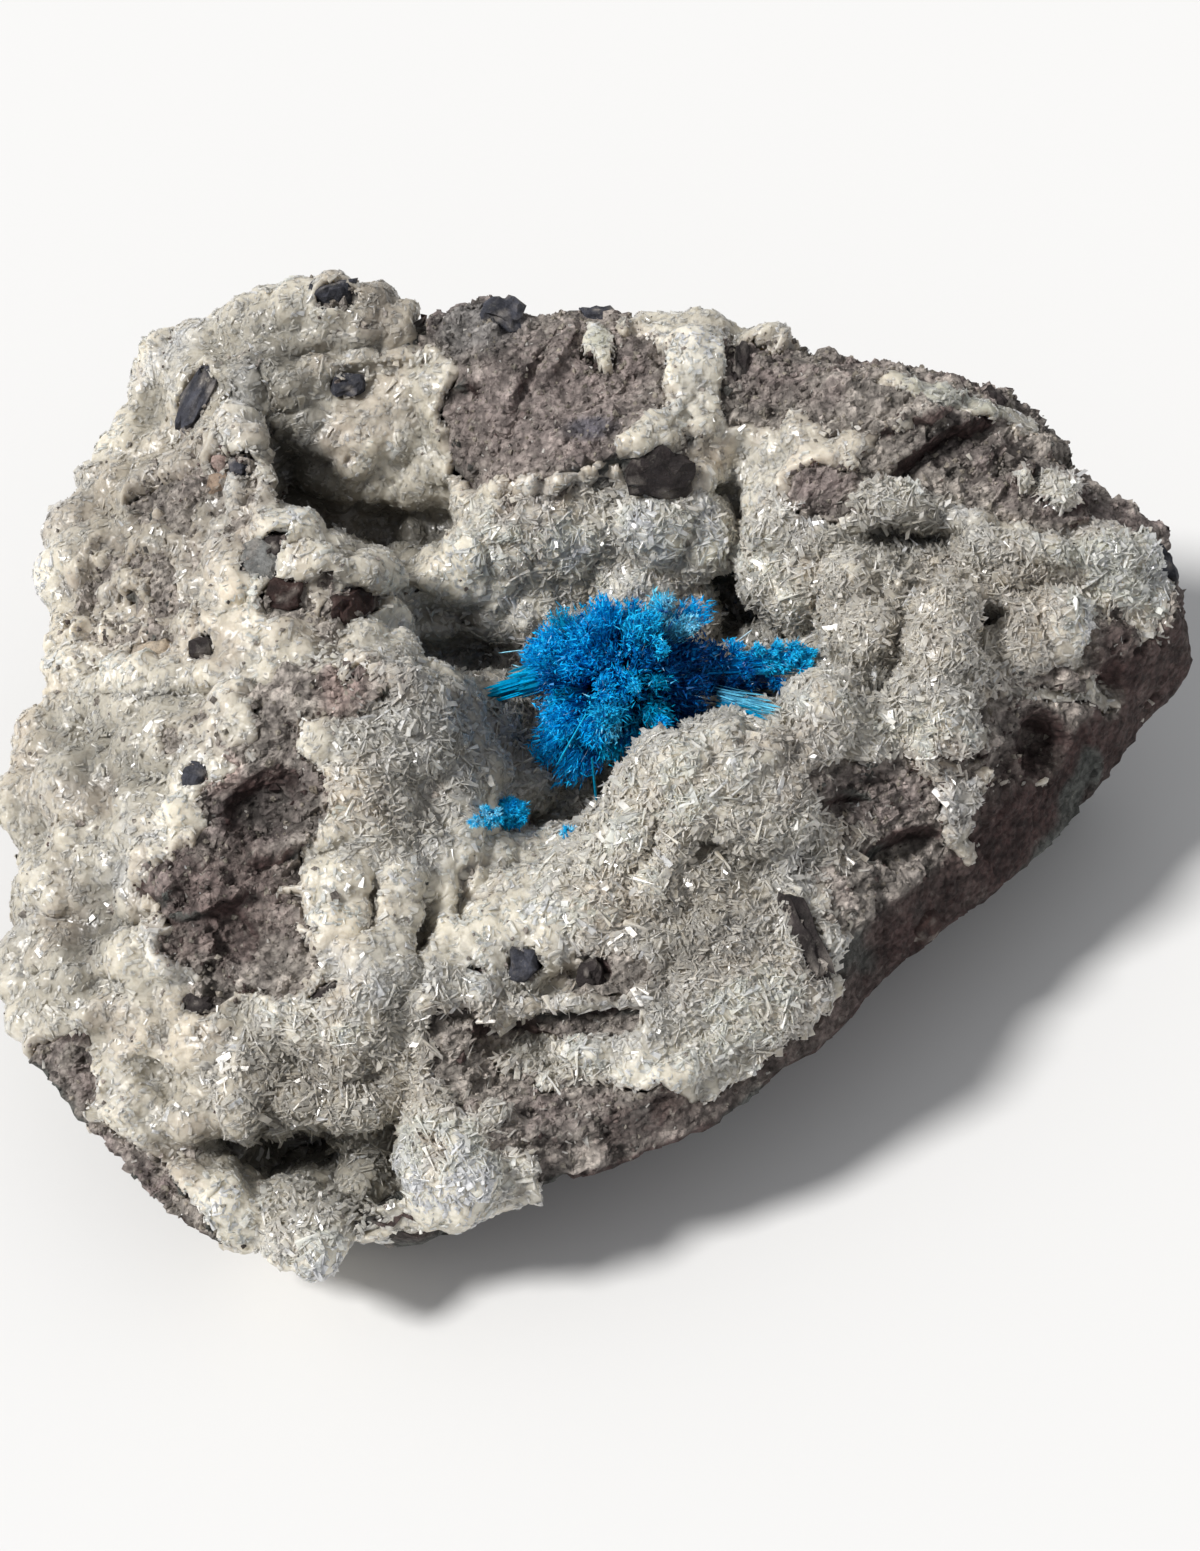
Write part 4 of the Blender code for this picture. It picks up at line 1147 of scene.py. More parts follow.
class Finish:
    """A material made of nodes; each method adds one and returns what it puts out."""

    def __init__(self, name, settings):
        self.material = bpy.data.materials.new(name)
        self.material.use_nodes = True
        self.tree = self.material.node_tree
        self.shader = self.tree.nodes["Principled BSDF"]
        for socket, value in settings.items():
            self.shader.inputs[socket].default_value = value
        self.place = self.add("ShaderNodeTexCoord").outputs["Object"]

    def add(self, kind, settings=None, inputs=None):
        node = self.tree.nodes.new(kind)
        for name, value in (settings or {}).items():
            setattr(node, name, value)
        for key, value in (inputs or {}).items():
            self.feed(node.inputs[key], value)
        return node

    def feed(self, socket, value):
        if isinstance(value, bpy.types.NodeSocket):
            self.tree.links.new(value, socket)
        else:
            socket.default_value = value

    def attribute(self, name, output="Fac"):
        return self.add("ShaderNodeAttribute", {"attribute_name": name}).outputs[output]

    def noise(self, size, detail=4.0, roughness=0.55):
        inputs = {"Vector": self.place, "Scale": 1 / (size * MM), "Detail": detail}
        inputs["Roughness"] = roughness
        return self.add("ShaderNodeTexNoise", inputs=inputs).outputs["Fac"]

    def cells(self, size, output="Distance"):
        inputs = {"Vector": self.place, "Scale": 1 / (size * MM)}
        return self.add("ShaderNodeTexVoronoi", inputs=inputs).outputs[output]

    def ramp(self, value, low, high, start=0.0, end=1.0):
        settings = {"interpolation_type": "SMOOTHSTEP"}
        inputs = {0: value, 1: low, 2: high, 3: start, 4: end}
        return self.add("ShaderNodeMapRange", settings, inputs).outputs[0]

    def product(self, first, second):
        settings = {"operation": "MULTIPLY"}
        return self.add("ShaderNodeMath", settings, {0: first, 1: second}).outputs[0]

    def mix(self, share, first, second, blend="MIX"):
        settings = {"data_type": "RGBA", "blend_type": blend}
        return self.add("ShaderNodeMix", settings, {0: share, 6: first, 7: second}).outputs[2]

    def times(self, colour, factor):
        """A colour made brighter or darker by a factor."""
        parts = self.add("ShaderNodeCombineColor", inputs={0: factor, 1: factor, 2: factor})
        return self.mix(1.0, colour, parts.outputs[0], "MULTIPLY")

    def bump(self, height, strength, distance, under=None):
        inputs = {"Height": height, "Strength": strength, "Distance": distance * MM}
        if under is not None:
            inputs["Normal"] = under
        return self.add("ShaderNodeBump", inputs=inputs).outputs["Normal"]

    def set(self, socket, value):
        self.feed(self.shader.inputs[socket], value)


def basalt_finish(pebbly=True):
    """Rough matt rock: fine grain, dark and pale specks, and pebbles unless it is one stone."""
    look = Finish("basalt", {"Specular IOR Level": 0.3})
    colour = look.attribute("shade", "Color")
    colour = look.times(colour, look.ramp(look.noise(1.4, 8, 0.72), 0.3, 0.7, 0.55, 1.50))
    speck = look.noise(0.5, 4, 0.7)
    lit = look.ramp(look.attribute("shade"), 0.05, 0.17, 0.2, 1.0)
    pale_specks = look.product(look.ramp(speck, 0.56, 0.70, 0.0, 0.60), lit)
    colour = look.mix(pale_specks, colour, (0.44, 0.41, 0.36, 1))
    dark_specks = look.ramp(speck, 0.42, 0.30, 0.0, 0.65)
    colour = look.mix(dark_specks, colour, (0.040, 0.034, 0.034, 1))
    # The pebbles are painted darker towards their edges: painted shade in the cracks between them.
    pebbles = look.cells(0.55)
    colour = look.times(colour, look.ramp(pebbles, 0.35, 0.75, 1.12, 0.62 if pebbly else 1.12))
    grain = look.noise(0.22, 3, 0.6)
    pale_grains = look.product(look.ramp(grain, 0.56, 0.72, 0.0, 0.30), lit)
    look.set("Base Color", look.mix(pale_grains, colour, (0.42, 0.38, 0.34, 1)))
    look.set("Roughness", look.ramp(look.noise(0.6), 0.3, 0.7, 0.72, 0.98))
    broken = look.bump(look.noise(0.9, 8, 0.75), 0.9, 0.50)
    rounded = look.ramp(pebbles, 0.0, 0.8, 1.0, 0.0)
    rounded = look.bump(rounded, 0.7 if pebbly else 0.15, 0.30, broken)
    look.set("Normal", look.bump(grain, 0.8, 0.18, rounded))
    return look.material


def druse_base_finish():
    """The close-grown foot of the druse: pale, sugary and full of small facets."""
    look = Finish("stilbite_base", {
        "IOR": 1.5, "Coat Weight": 0.2, "Coat Roughness": 0.2,
        "Subsurface Weight": 0.8, "Subsurface Scale": 1.2 * MM,
        "Subsurface Radius": (1.0, 0.95, 0.85),
    })
    colour = look.attribute("shade", "Color")
    sugar = look.cells(0.38, "Color")
    tone = look.add("ShaderNodeSeparateColor", inputs={0: sugar}).outputs[0]
    look.set("Base Color", look.times(colour, look.ramp(tone, 0.0, 1.0, 0.93, 1.05)))
    look.set("Roughness", look.ramp(look.noise(0.5), 0.35, 0.65, 0.30, 0.6))
    facet = look.bump(look.cells(0.70), 0.60, 0.24)
    look.set("Normal", look.bump(look.cells(0.30), 0.35, 0.08, facet))
    return look.material


def druse_blade_finish():
    """Single stilbite blades: part see-through, pearly, with a faint grain along them."""
    look = Finish("stilbite_blades", {
        "IOR": 1.50, "Transmission Weight": 0.14, "Coat Weight": 0.30, "Coat Roughness": 0.14,
        "Subsurface Weight": 0.8, "Subsurface Scale": 0.7 * MM,
        "Subsurface Radius": (1.0, 0.95, 0.85),
    })
    colour = look.attribute("shade", "Color")
    look.set("Base Color", look.times(colour, look.ramp(look.noise(0.25, 3), 0.3, 0.7, 0.94, 1.05)))
    look.set("Roughness", look.ramp(look.noise(0.4), 0.3, 0.7, 0.22, 0.45))
    faces = look.bump(look.noise(0.12, 2), 0.15, 0.03)
    both = {0: faces, 1: look.attribute("soft", "Vector")}
    soft = look.add("ShaderNodeVectorMath", {"operation": "ADD"}, both).outputs[0]
    soft = look.add("ShaderNodeVectorMath", {"operation": "NORMALIZE"}, {0: soft}).outputs[0]
    look.set("Normal", soft)
    look.set("Coat Normal", faces)
    return look.material


def cavansite_finish():
    """Glassy blue blades: cyan where thin at the tips, navy at the root, partly painted shade where
    they crowd.
    """
    settings = {"IOR": 1.54, "Transmission Weight": 0.08, "Specular IOR Level": 0.07}
    look = Finish("cavansite", settings)
    colour = look.attribute("shade", "Color")
    look.set("Base Color", look.times(colour, look.ramp(look.noise(0.16, 3), 0.3, 0.7, 0.80, 1.25)))
    look.set("Roughness", look.ramp(look.noise(0.5), 0.3, 0.7, 0.25, 0.50))
    look.set("Normal", look.bump(look.noise(0.08, 2), 0.2, 0.03))
    return look.material


# Blades

# A blade's own axes: across its width, through its thickness, and along it from the root.
CHISEL_POINTS = np.array([
    (-0.5, -0.5, 0), (0.5, -0.5, 0), (0.5, 0.5, 0), (-0.5, 0.5, 0), (-0.38, 0, 1), (0.28, 0, 0.93),
])
CHISEL_FACES = np.array([
    (0, 2, 1), (0, 3, 2), (0, 1, 5), (0, 5, 4), (1, 2, 5), (2, 3, 4), (2, 4, 5), (3, 0, 4),
])
SPEAR_POINTS = np.array([
    (-0.4, -0.4, 0), (0.4, -0.4, 0), (0, 0.5, 0), (-0.5, -0.4, 0.75), (0.5, -0.4, 0.75),
    (0, 0.6, 0.7), (0.05, 0, 1),
])
SPEAR_FACES = np.array([
    (0, 2, 1), (0, 1, 4), (0, 4, 3), (1, 2, 5), (1, 5, 4), (2, 0, 3), (2, 3, 5),
    (3, 4, 6), (4, 5, 6), (5, 3, 6),
])
NEEDLE_POINTS = np.array([(-0.5, -0.4, 0), (0.5, -0.4, 0), (0, 0.5, 0), (0, 0, 1)])
NEEDLE_FACES = np.array([(0, 2, 1), (0, 1, 3), (1, 2, 3), (2, 0, 3)])
CRUMB_POINTS = np.array([
    (-0.5, -0.1, 0.1), (0.5, 0.1, -0.1), (0.1, -0.5, 0), (-0.1, 0.5, 0.1), (0, 0.1, -0.5),
    (0.1, -0.1, 0.5),
])
CRUMB_FACES = np.array([
    (0, 2, 5), (2, 1, 5), (1, 3, 5), (3, 0, 5), (2, 0, 4), (1, 2, 4), (3, 1, 4), (0, 3, 4),
])


def unit(vectors):
    return vectors / np.maximum(np.linalg.norm(vectors, axis=-1, keepdims=True), 1e-12)


def blades(roots, ways, lengths, widths, depths, shape, facing):
    """Points, triangles and share along the blade for one blade at each root.

    The blades' edges turn toward the facing directions, one for each blade.
    """
    shape_points, shape_faces = shape
    ways = unit(ways)
    across = unit(np.cross(ways, facing))
    through = np.cross(ways, across)
    points = (
        roots[:, None, :]
        + shape_points[None, :, 0, None] * (across * widths[:, None])[:, None, :]
        + shape_points[None, :, 1, None] * (through * depths[:, None])[:, None, :]
        + shape_points[None, :, 2, None] * (ways * lengths[:, None])[:, None, :]
    )
    count = len(shape_points)
    triangles = shape_faces[None] + count * np.arange(len(roots))[:, None, None]
    along = np.tile(shape_points[:, 2], len(roots))
    return points.reshape(-1, 3), triangles.reshape(-1, 3), along


def scattered(points, triangles, weights, count, dice):
    """Random places on a surface, more where the vertex weights are higher."""
    first, second, third = (points[triangles[:, corner]] for corner in range(3))
    area = np.linalg.norm(np.cross(second - first, third - first), axis=1)
    chance = area * weights[triangles].mean(axis=1)
    chosen = dice.choice(len(triangles), size=count, p=chance / chance.sum())
    root = np.sqrt(dice.random(count))
    other = dice.random(count)
    shares = np.stack([1 - root, root * (1 - other), root * other], axis=1)
    return chosen, shares


def spread(values, triangles, chosen, shares):
    """Values of the vertices carried to the scattered places."""
    corners = values[triangles[chosen]]
    if values.ndim == 1:
        return (corners * shares).sum(axis=1)
    return (corners * shares[:, :, None]).sum(axis=1)


# Pieces

def make_basalt(stone):
    """The basalt: fine on top, less so at the sides, coarse at its base and under the druse."""
    covered = smooth_step(stone.druse, 0.68, 0.82)
    low = stone.form[:, 2] < 0.05
    places = stone.basalt - stone.normals * (covered * (1 - low))[:, None]
    cells = np.where(stone.normals[:, 2] < 0.15, SIDE_CELL, 0)
    cells = np.where((covered > 0.99) | low, HIDDEN_CELL, cells)
    points, triangles, kept = thinned(places, stone.triangles, cells)
    mesh = mesh_of("basalt_stone", points, triangles, smooth=False)
    colours = basalt_colours(points, stone.normals[kept], stone.view, stone.druse[kept])
    # Painted light and shade: the basalt is painted brighter where its roughness stands out and
    # darker in its pits and creases.
    painted_rough_shade = np.clip(1.05 + PAINTED_LIGHT_AND_SHADE_OF_ROUGH * stone.rough[kept], 0.45, 1.35)
    add_colours(mesh, "shade", colours * painted_rough_shade[:, None])
    finished_piece("basalt_stone", mesh, basalt_finish(), "basalt_matrix")


def unit_ball():
    """Points and triangles of a ball one unit in radius, roughly evenly divided."""
    mesh = bpy.data.meshes.new("ball")
    form = bmesh.new()
    bmesh.ops.create_icosphere(form, subdivisions=3, radius=1.0)
    form.to_mesh(mesh)
    form.free()
    points, triangles = mesh_arrays(mesh)
    return points * MM, triangles


def broken_lump(ball, half_sizes, number):
    """A ball made angular: part way to a block, broken by facets of its own."""
    block = ball / np.maximum(np.abs(ball).max(axis=1, keepdims=True), 1e-9)
    form = ball + 0.42 * (block - ball)
    form = form * (1 + 0.24 * facets(ball + 5 * number, 0.9, 151 + number))[:, None]
    return form * half_sizes


def make_stones(stone):
    """The larger stones set in the top: angular lumps at their places in the photograph."""
    ball, faces = unit_ball()
    view = stone.view
    parts = []
    shades = []
    for number, (across, down, half_length, half_width, *rest) in enumerate(STONES.values()):
        turn, rise, colour = rest
        middle, normal = view.spot(across, down)
        pixel = np.dot(middle - view.eye, view.ahead) / view.focal
        angle = math.radians(turn)
        along = view.right * math.cos(angle) + view.up * math.sin(angle)
        along = unit(along - normal * np.dot(along, normal))
        side = np.cross(normal, along)
        half_sizes = (half_length * pixel, 1.15 * half_width * pixel, STONE_DEPTH + 0.5 * rise)
        form = broken_lump(ball, np.array(half_sizes), number)
        place = middle - normal * (STONE_DEPTH - 0.5 * rise)
        parts.append(place + form[:, :1] * along + form[:, 1:2] * side + form[:, 2:] * normal)
        shades.append(np.tile(colour, (len(ball), 1)))
    points = stone.kept_in_box(np.concatenate(parts))
    points += 0.22 * soft_noise(points, 0.8, 153, 2)[:, None]
    triangles = (faces[None] + len(ball) * np.arange(len(parts))[:, None, None]).reshape(-1, 3)
    mesh = mesh_of("set_stones", points, triangles, smooth=False)
    shades = np.concatenate(shades) * (1 + 0.55 * soft_noise(points, 0.9, 157, 2))[:, None]
    dust = smooth_step(soft_noise(points, 0.7, 159, 2), 0.15, 0.6)
    shades = mixed(shades, BASALT_DUST, 0.45 * dust)
    add_colours(mesh, "shade", np.clip(shades, 0.01, 0.9))
    finished_piece("set_stones", mesh, basalt_finish(pebbly=False), "basalt_matrix")


def outside_ball(points):
    """0 for points inside the rosette's ball, 1 for the others."""
    return (np.linalg.norm(points - BALL_MIDDLE, axis=1) > BALL_CLEAR).astype(float)


def make_grit(stone, dice):
    """Loose-looking grains over the bare basalt and where the druse is thin."""
    weights = smooth_step(stone.druse, 0.75, 0.40) + SPECKS_ON_DRUSE
    weights *= smooth_step(stone.normals[:, 2], 0.35, 0.75) * outside_ball(stone.skin)
    weights = weights * smooth_step(stone.form[:, 2], 2.0, 6.0)
    chosen, shares = scattered(stone.skin, stone.triangles, weights, GRIT_COUNT, dice)
    places = spread(stone.skin, stone.triangles, chosen, shares)
    normals = unit(spread(stone.skin_normals, stone.triangles, chosen, shares))
    size = GRIT_SIZE * dice.lognormal(0.0, 0.40, GRIT_COUNT)
    ways = unit(normals + dice.normal(size=(GRIT_COUNT, 3)))
    widths = size * dice.uniform(0.7, 1.5, GRIT_COUNT)
    depths = size * dice.uniform(0.7, 1.5, GRIT_COUNT)
    facing = unit(dice.normal(size=(GRIT_COUNT, 3)))
    shape = (CRUMB_POINTS, CRUMB_FACES)
    points, triangles, _ = blades(places, ways, 1.2 * size, widths, depths, shape, facing)
    cover = spread(stone.druse, stone.triangles, chosen, shares)
    colours = basalt_colours(places, normals, stone.view, cover)
    colours *= dice.lognormal(0.0, 0.22, (GRIT_COUNT, 1))
    pale = dice.random(GRIT_COUNT) < PALE_GRIT
    colours[pale] = druse_colours(places[pale], stone.view, cover[pale]) * 0.55
    mesh = mesh_of("basalt_grit", stone.kept_in_box(points), triangles, smooth=False)
    add_colours(mesh, "shade", np.repeat(np.clip(colours, 0.01, 0.9), len(CRUMB_POINTS), axis=0))
    finished_piece("basalt_grit", mesh, basalt_finish(), "basalt_matrix")


def make_druse_base(stone):
    """The druse's foot: a closed sheet over the covered part, its edges dipped in the basalt."""
    kept = stone.triangles[(stone.druse[stone.triangles] > 0.36).all(axis=1)]
    used, numbers = np.unique(kept, return_inverse=True)
    kept = numbers.reshape(-1, 3)
    top = stone.crust[used]
    bottom = top - stone.normals[used] * CRUST_THICKNESS
    edges = np.concatenate([kept[:, (0, 1)], kept[:, (1, 2)], kept[:, (2, 0)]])
    key = edges[:, 0] * len(used) + edges[:, 1]
    back = edges[:, 1] * len(used) + edges[:, 0]
    border = edges[~np.isin(key, back)]
    walls = np.concatenate([
        np.stack([border[:, 1], border[:, 0], border[:, 0] + len(used)], axis=1),
        np.stack([border[:, 1], border[:, 0] + len(used), border[:, 1] + len(used)], axis=1),
    ])
    triangles = np.concatenate([kept, kept[:, ::-1] + len(used), walls])
    underside = np.arange(2 * len(used)) >= len(used)
    underside[border.ravel() + len(used)] = False
    places = np.concatenate([top, bottom])
    points, triangles, numbers = thinned(places, triangles, np.where(underside, HIDDEN_CELL, 0))
    mesh = mesh_of("druse_base", points, triangles, smooth=True)
    # The base takes the druse's tone, with its painted light and shade.
    tone = BASE_TONE * np.tile(stone.tone[used], 2)[numbers]
    cover = np.tile(stone.druse[used], 2)[numbers]
    add_colours(mesh, "shade", druse_colours(points, stone.view, cover) * tone[:, None])
    finished_piece("druse_base", mesh, druse_base_finish(), "stilbite_crust")


def blade_sizes(coarse, cover, dice):
    """Lengths, widths and depths: large and slender where coarse, small at the druse's edge."""
    thick = 0.6 + 0.4 * smooth_step(cover, 0.35, 0.6)
    size = (0.38 + 0.54 * coarse) * thick * dice.lognormal(0.0, 0.28, BLADE_COUNT)
    lengths = np.minimum(size * dice.uniform(0.8, 1.35, BLADE_COUNT), LONGEST_BLADE)
    widths = size * (0.48 - 0.20 * coarse) * dice.uniform(0.7, 1.3, BLADE_COUNT)
    depths = widths * (0.55 - 0.20 * coarse) * dice.uniform(0.7, 1.3, BLADE_COUNT)
    return lengths, widths, depths


def blade_ways(normals, coarse, dice):
    """Directions in all angles along the surface, rising from it more where coarse."""
    ways = unit(dice.normal(size=(BLADE_COUNT, 3)))
    rising = np.einsum("ij,ij->i", ways, normals)
    lift = (0.15 + 0.40 * coarse) * np.abs(rising) - rising
    return unit(ways + normals * lift[:, None])


def blade_colours(roots, stone, cover, tone, coarse, dice):
    """Colours at the roots, with painted light and shade; each blade a little of its own; some
    painted white as glints.
    """
    colours = druse_colours(roots, stone.view, cover)
    tone = tone * dice.normal(1.03, 0.05, BLADE_COUNT) * (1.12 - 0.12 * coarse)
    colours = np.clip(colours * tone[:, None], 0.02, 0.93)
    # Painted glints: some blades are painted white.
    white = dice.random(BLADE_COUNT) < PAINTED_GLINT_BLADES
    colours[white] = mixed(colours[white], DRUSE_WHITE, np.full(white.sum(), 0.8))
    return colours


def make_druse_blades(stone, dice):
    """The druse's blades, lying at all angles on the surface and partly sunk in it."""
    upward = smooth_step(stone.normals[:, 2], 0.3, 0.7)
    weights = smooth_step(stone.druse, 0.42, 0.60) + SPARSE_BLADES * upward
    weights *= smooth_step(stone.form[:, 2], 0.8, 2.5) * (0.38 + 0.62 * stone.coarse)
    weights *= smooth_step(stone.normals[:, 2], -0.9, -0.3) * outside_ball(stone.skin)
    chosen, shares = scattered(stone.skin, stone.triangles, weights, BLADE_COUNT, dice)
    roots = spread(stone.skin, stone.triangles, chosen, shares)
    normals = unit(spread(stone.skin_normals, stone.triangles, chosen, shares))
    coarse, tone, cover = (
        spread(field, stone.triangles, chosen, shares)
        for field in (stone.coarse, stone.tone, stone.druse)
    )
    lengths, widths, depths = blade_sizes(coarse, cover, dice)
    ways = blade_ways(normals, coarse, dice)
    roots = roots - ways * (0.50 * lengths)[:, None] + normals * (0.02 + 0.05 * coarse)[:, None]
    colours = blade_colours(roots, stone, cover, tone, coarse, dice)
    facing = unit(dice.normal(size=(BLADE_COUNT, 3)) + (2.0 - 1.3 * coarse)[:, None] * normals)
    soft = normals * (SOFT_FINE + (SOFT_COARSE - SOFT_FINE) * coarse)[:, None]
    material = druse_blade_finish()
    left = np.ones(BLADE_COUNT, bool)
    shape = (CHISEL_POINTS, CHISEL_FACES)
    for name, region in DRUSE_PIECES.items():
        here = left & region(roots[:, 0], roots[:, 1])
        left &= ~here
        sizes = (lengths[here], widths[here], depths[here])
        points, triangles, along = blades(roots[here], ways[here], *sizes, shape, facing[here])
        points = stone.kept_in_box(points)
        mesh = mesh_of(name, points, triangles, smooth=False)
        shades = np.repeat(colours[here], len(CHISEL_POINTS), axis=0)
        # Painted shade towards each blade's root and painted light towards its tip.
        shades *= (0.86 + 0.18 * along)[:, None]
        add_colours(mesh, "shade", shades)
        add_vectors(mesh, "soft", np.repeat(soft[here], len(CHISEL_POINTS), axis=0))
        finished_piece(name, mesh, material, "stilbite_crust")


# Cavansite

class Sprays:
    """Gathers blades and needles, fanned or bundled together, and makes them one mesh."""

    shapes = {"blade": (SPEAR_POINTS, SPEAR_FACES), "needle": (NEEDLE_POINTS, NEEDLE_FACES)}

    def __init__(self, view, dice):
        self.view = view
        self.dice = dice
        self.parts = {"blade": [], "needle": []}

    def add(self, kind, roots, ways, lengths, widths, root_colour, tip_colour, facing=None):
        """Keeps blades of a kind, facing any way unless it is given, until they are made."""
        whole = (len(roots), 3)
        if facing is None:
            facing = unit(self.dice.normal(size=whole))
        depths = (0.35 if kind == "blade" else 0.8) * widths
        colours = (np.broadcast_to(root_colour, whole), np.broadcast_to(tip_colour, whole))
        self.parts[kind].append((roots, unit(ways), lengths, widths, depths, facing, *colours))

    def fan(self, root, tip, angle, count, width, colour):
        """Needles from near one root, fanned about the way to a tip, with small ones at the end."""
        count = int(count * NEEDLES_TO_A_BLADE)
        way = tip - root
        length = np.linalg.norm(way)
        way = way / length
        lean = self.dice.normal(size=(count, 3)) * math.tan(math.radians(angle)) * 1.25
        ways = unit(way + lean)
        lengths = length * self.dice.uniform(0.66, 1.05, count) * np.clip(ways @ way, 0.6, 1) ** 2
        widths = NEEDLE_WIDTH * width * self.dice.lognormal(0.0, 0.30, count)
        roots = root + ways * (0.15 * lengths)[:, None]
        self.add("needle", roots, ways, 0.85 * lengths, widths, ROOT_BLUE_AND_PAINTED_SHADE, colour)
        small = self.dice.random(count) < FROST_SHARE
        number = small.sum()
        places = root + (ways * lengths[:, None])[small] * self.dice.uniform(0.70, 1.0, (number, 1))
        turned = unit(ways[small] + self.dice.normal(size=(number, 3)) * 0.75)
        reach = np.maximum(length * self.dice.uniform(0.07, 0.16, number), SHORTEST_FROST)
        share = 0.8 * colour[2] * self.dice.uniform(0, 1, number)
        pale = mixed(np.broadcast_to(colour, (number, 3)), CYAN, share)
        self.add("needle", places, turned, reach, 1.15 * widths[small], pale, pale)

    def bundle(self, start, end, thickness, count, width, colour):
        """Blades side by side along a line."""
        way = end - start
        length = np.linalg.norm(way)
        off = self.dice.normal(size=(count, 3)) * thickness * 0.5
        begin = self.dice.uniform(0.0, 0.55, count)
        reach = np.minimum(self.dice.uniform(0.30, 0.60, count), 1.04 - begin)
        roots = start + way * begin[:, None] + off
        ways = unit(way + length * (0.022 * self.dice.normal(size=(count, 3)) + 0.05 * off))
        widths = width * self.dice.lognormal(0.0, 0.3, count)
        # The root of a bundle is painted darker, as shade where its blades crowd.
        root_colour = 0.6 * np.array(colour) + 0.4 * np.array(NAVY)
        self.add("blade", roots, ways, reach * length, widths, root_colour, colour)

    def single(self, start, end, width, colour):
        """One blade from end to end, its broad side to the camera."""
        way = end - start
        facing = np.cross(self.view.ahead, way)[None]
        facing = unit(np.cross(way, facing))
        length = np.array([np.linalg.norm(way)])
        self.add("blade", start[None], way[None], length, np.array([width]), colour, colour, facing)

    def ball(self, middle, radii, tufts, count, angle, width, colours, painted_right_shade=None):
        """Fans in all directions from a middle, about evenly spread.

        Those on the right have a colour of their own as painted shade, if one is given.
        """
        for number, direction in enumerate(golden_directions(tufts)):
            way = unit(direction + self.dice.normal(size=3) * 0.16)
            sized = way * radii
            reach = self.view.right * sized[0] + self.view.up * sized[1]
            reach = (reach + self.view.ahead * sized[2]) * self.dice.uniform(0.84, 1.0)
            colour = colours[number % len(colours)]
            if painted_right_shade is not None and way[0] > 0.2:
                colour = painted_right_shade
            self.fan(middle + BALL_ROOT * reach, middle + reach, angle, count, width, colour)

    def tussock(self, middle, leaning, reach, tufts, count, width, colour):
        """A few tufts from one place, leaning one way, each of its own length."""
        for _ in range(tufts):
            way = unit(0.7 * leaning + self.dice.normal(size=3))
            root = middle - 0.3 * reach * way + self.dice.normal(size=3) * 0.25 * reach
            tip = root + way * reach * self.dice.uniform(0.8, 1.5)
            self.fan(root, tip, 15, count, width, colour)

    def made(self, kind):
        """Points, triangles and colours of all blades of a kind: from root to tip colour, some
        glints painted white.
        """
        roots, ways, lengths, widths, depths, facing, root_colours, tip_colours = (
            np.concatenate(column) for column in zip(*self.parts[kind])
        )
        shape = self.shapes[kind]
        points, triangles, along = blades(roots, ways, lengths, widths, depths, shape, facing)
        size = len(shape[0])
        root_colours, tip_colours = (
            np.repeat(colours, size, axis=0) for colours in (root_colours, tip_colours)
        )
        share = smooth_step(along, 0.0, 0.9)
        colours = mixed(root_colours, tip_colours, share)
        tone = np.repeat(self.dice.lognormal(0.0, 0.28, len(roots)), size)
        tone = np.minimum(tone, 0.98 / colours.max(axis=1))
        # Painted glints: some needles are painted white towards their tips.
        white = np.repeat(self.dice.random(len(roots)) < PAINTED_GLINT_NEEDLES, size)
        return points, triangles, mixed(colours * tone[:, None], WHITE, 0.75 * white * share)

    def piece(self, name, node, material):
        """Makes all that was gathered one piece that stands for a node."""
        made = [self.made(kind) for kind in self.parts if self.parts[kind]]
        starts = np.cumsum([0] + [len(points) for points, _, _ in made])
        points = np.concatenate([part[0] for part in made])
        triangles = np.concatenate([part[1] + start for part, start in zip(made, starts)])
        mesh = mesh_of(name, points, triangles, smooth=False)
        add_colours(mesh, "shade", np.clip(np.concatenate([part[2] for part in made]), 0, 0.92))
        finished_piece(name, mesh, material, node)


def golden_directions(count):
    """Evenly spread directions."""
    number = np.arange(count) + 0.5
    height = 1 - 2 * number / count
    turn = number * math.pi * (1 + math.sqrt(5))
    flat = np.sqrt(1 - height**2)
    return np.stack([flat * np.cos(turn), flat * np.sin(turn), height], axis=1)


def on_ball(view, across, down):
    """The near side of the ball seen at a pixel; off the ball, the same distance as its middle."""
    off = view.level_with(BALL_MIDDLE, across, down) - BALL_MIDDLE
    share = (off @ view.right / BALL_RADII[0]) ** 2 + (off @ view.up / BALL_RADII[1]) ** 2
    nearer = BALL_RADII[2] * math.sqrt(max(0.0, 1 - share))
    return view.level_with(BALL_MIDDLE, across, down, nearer)


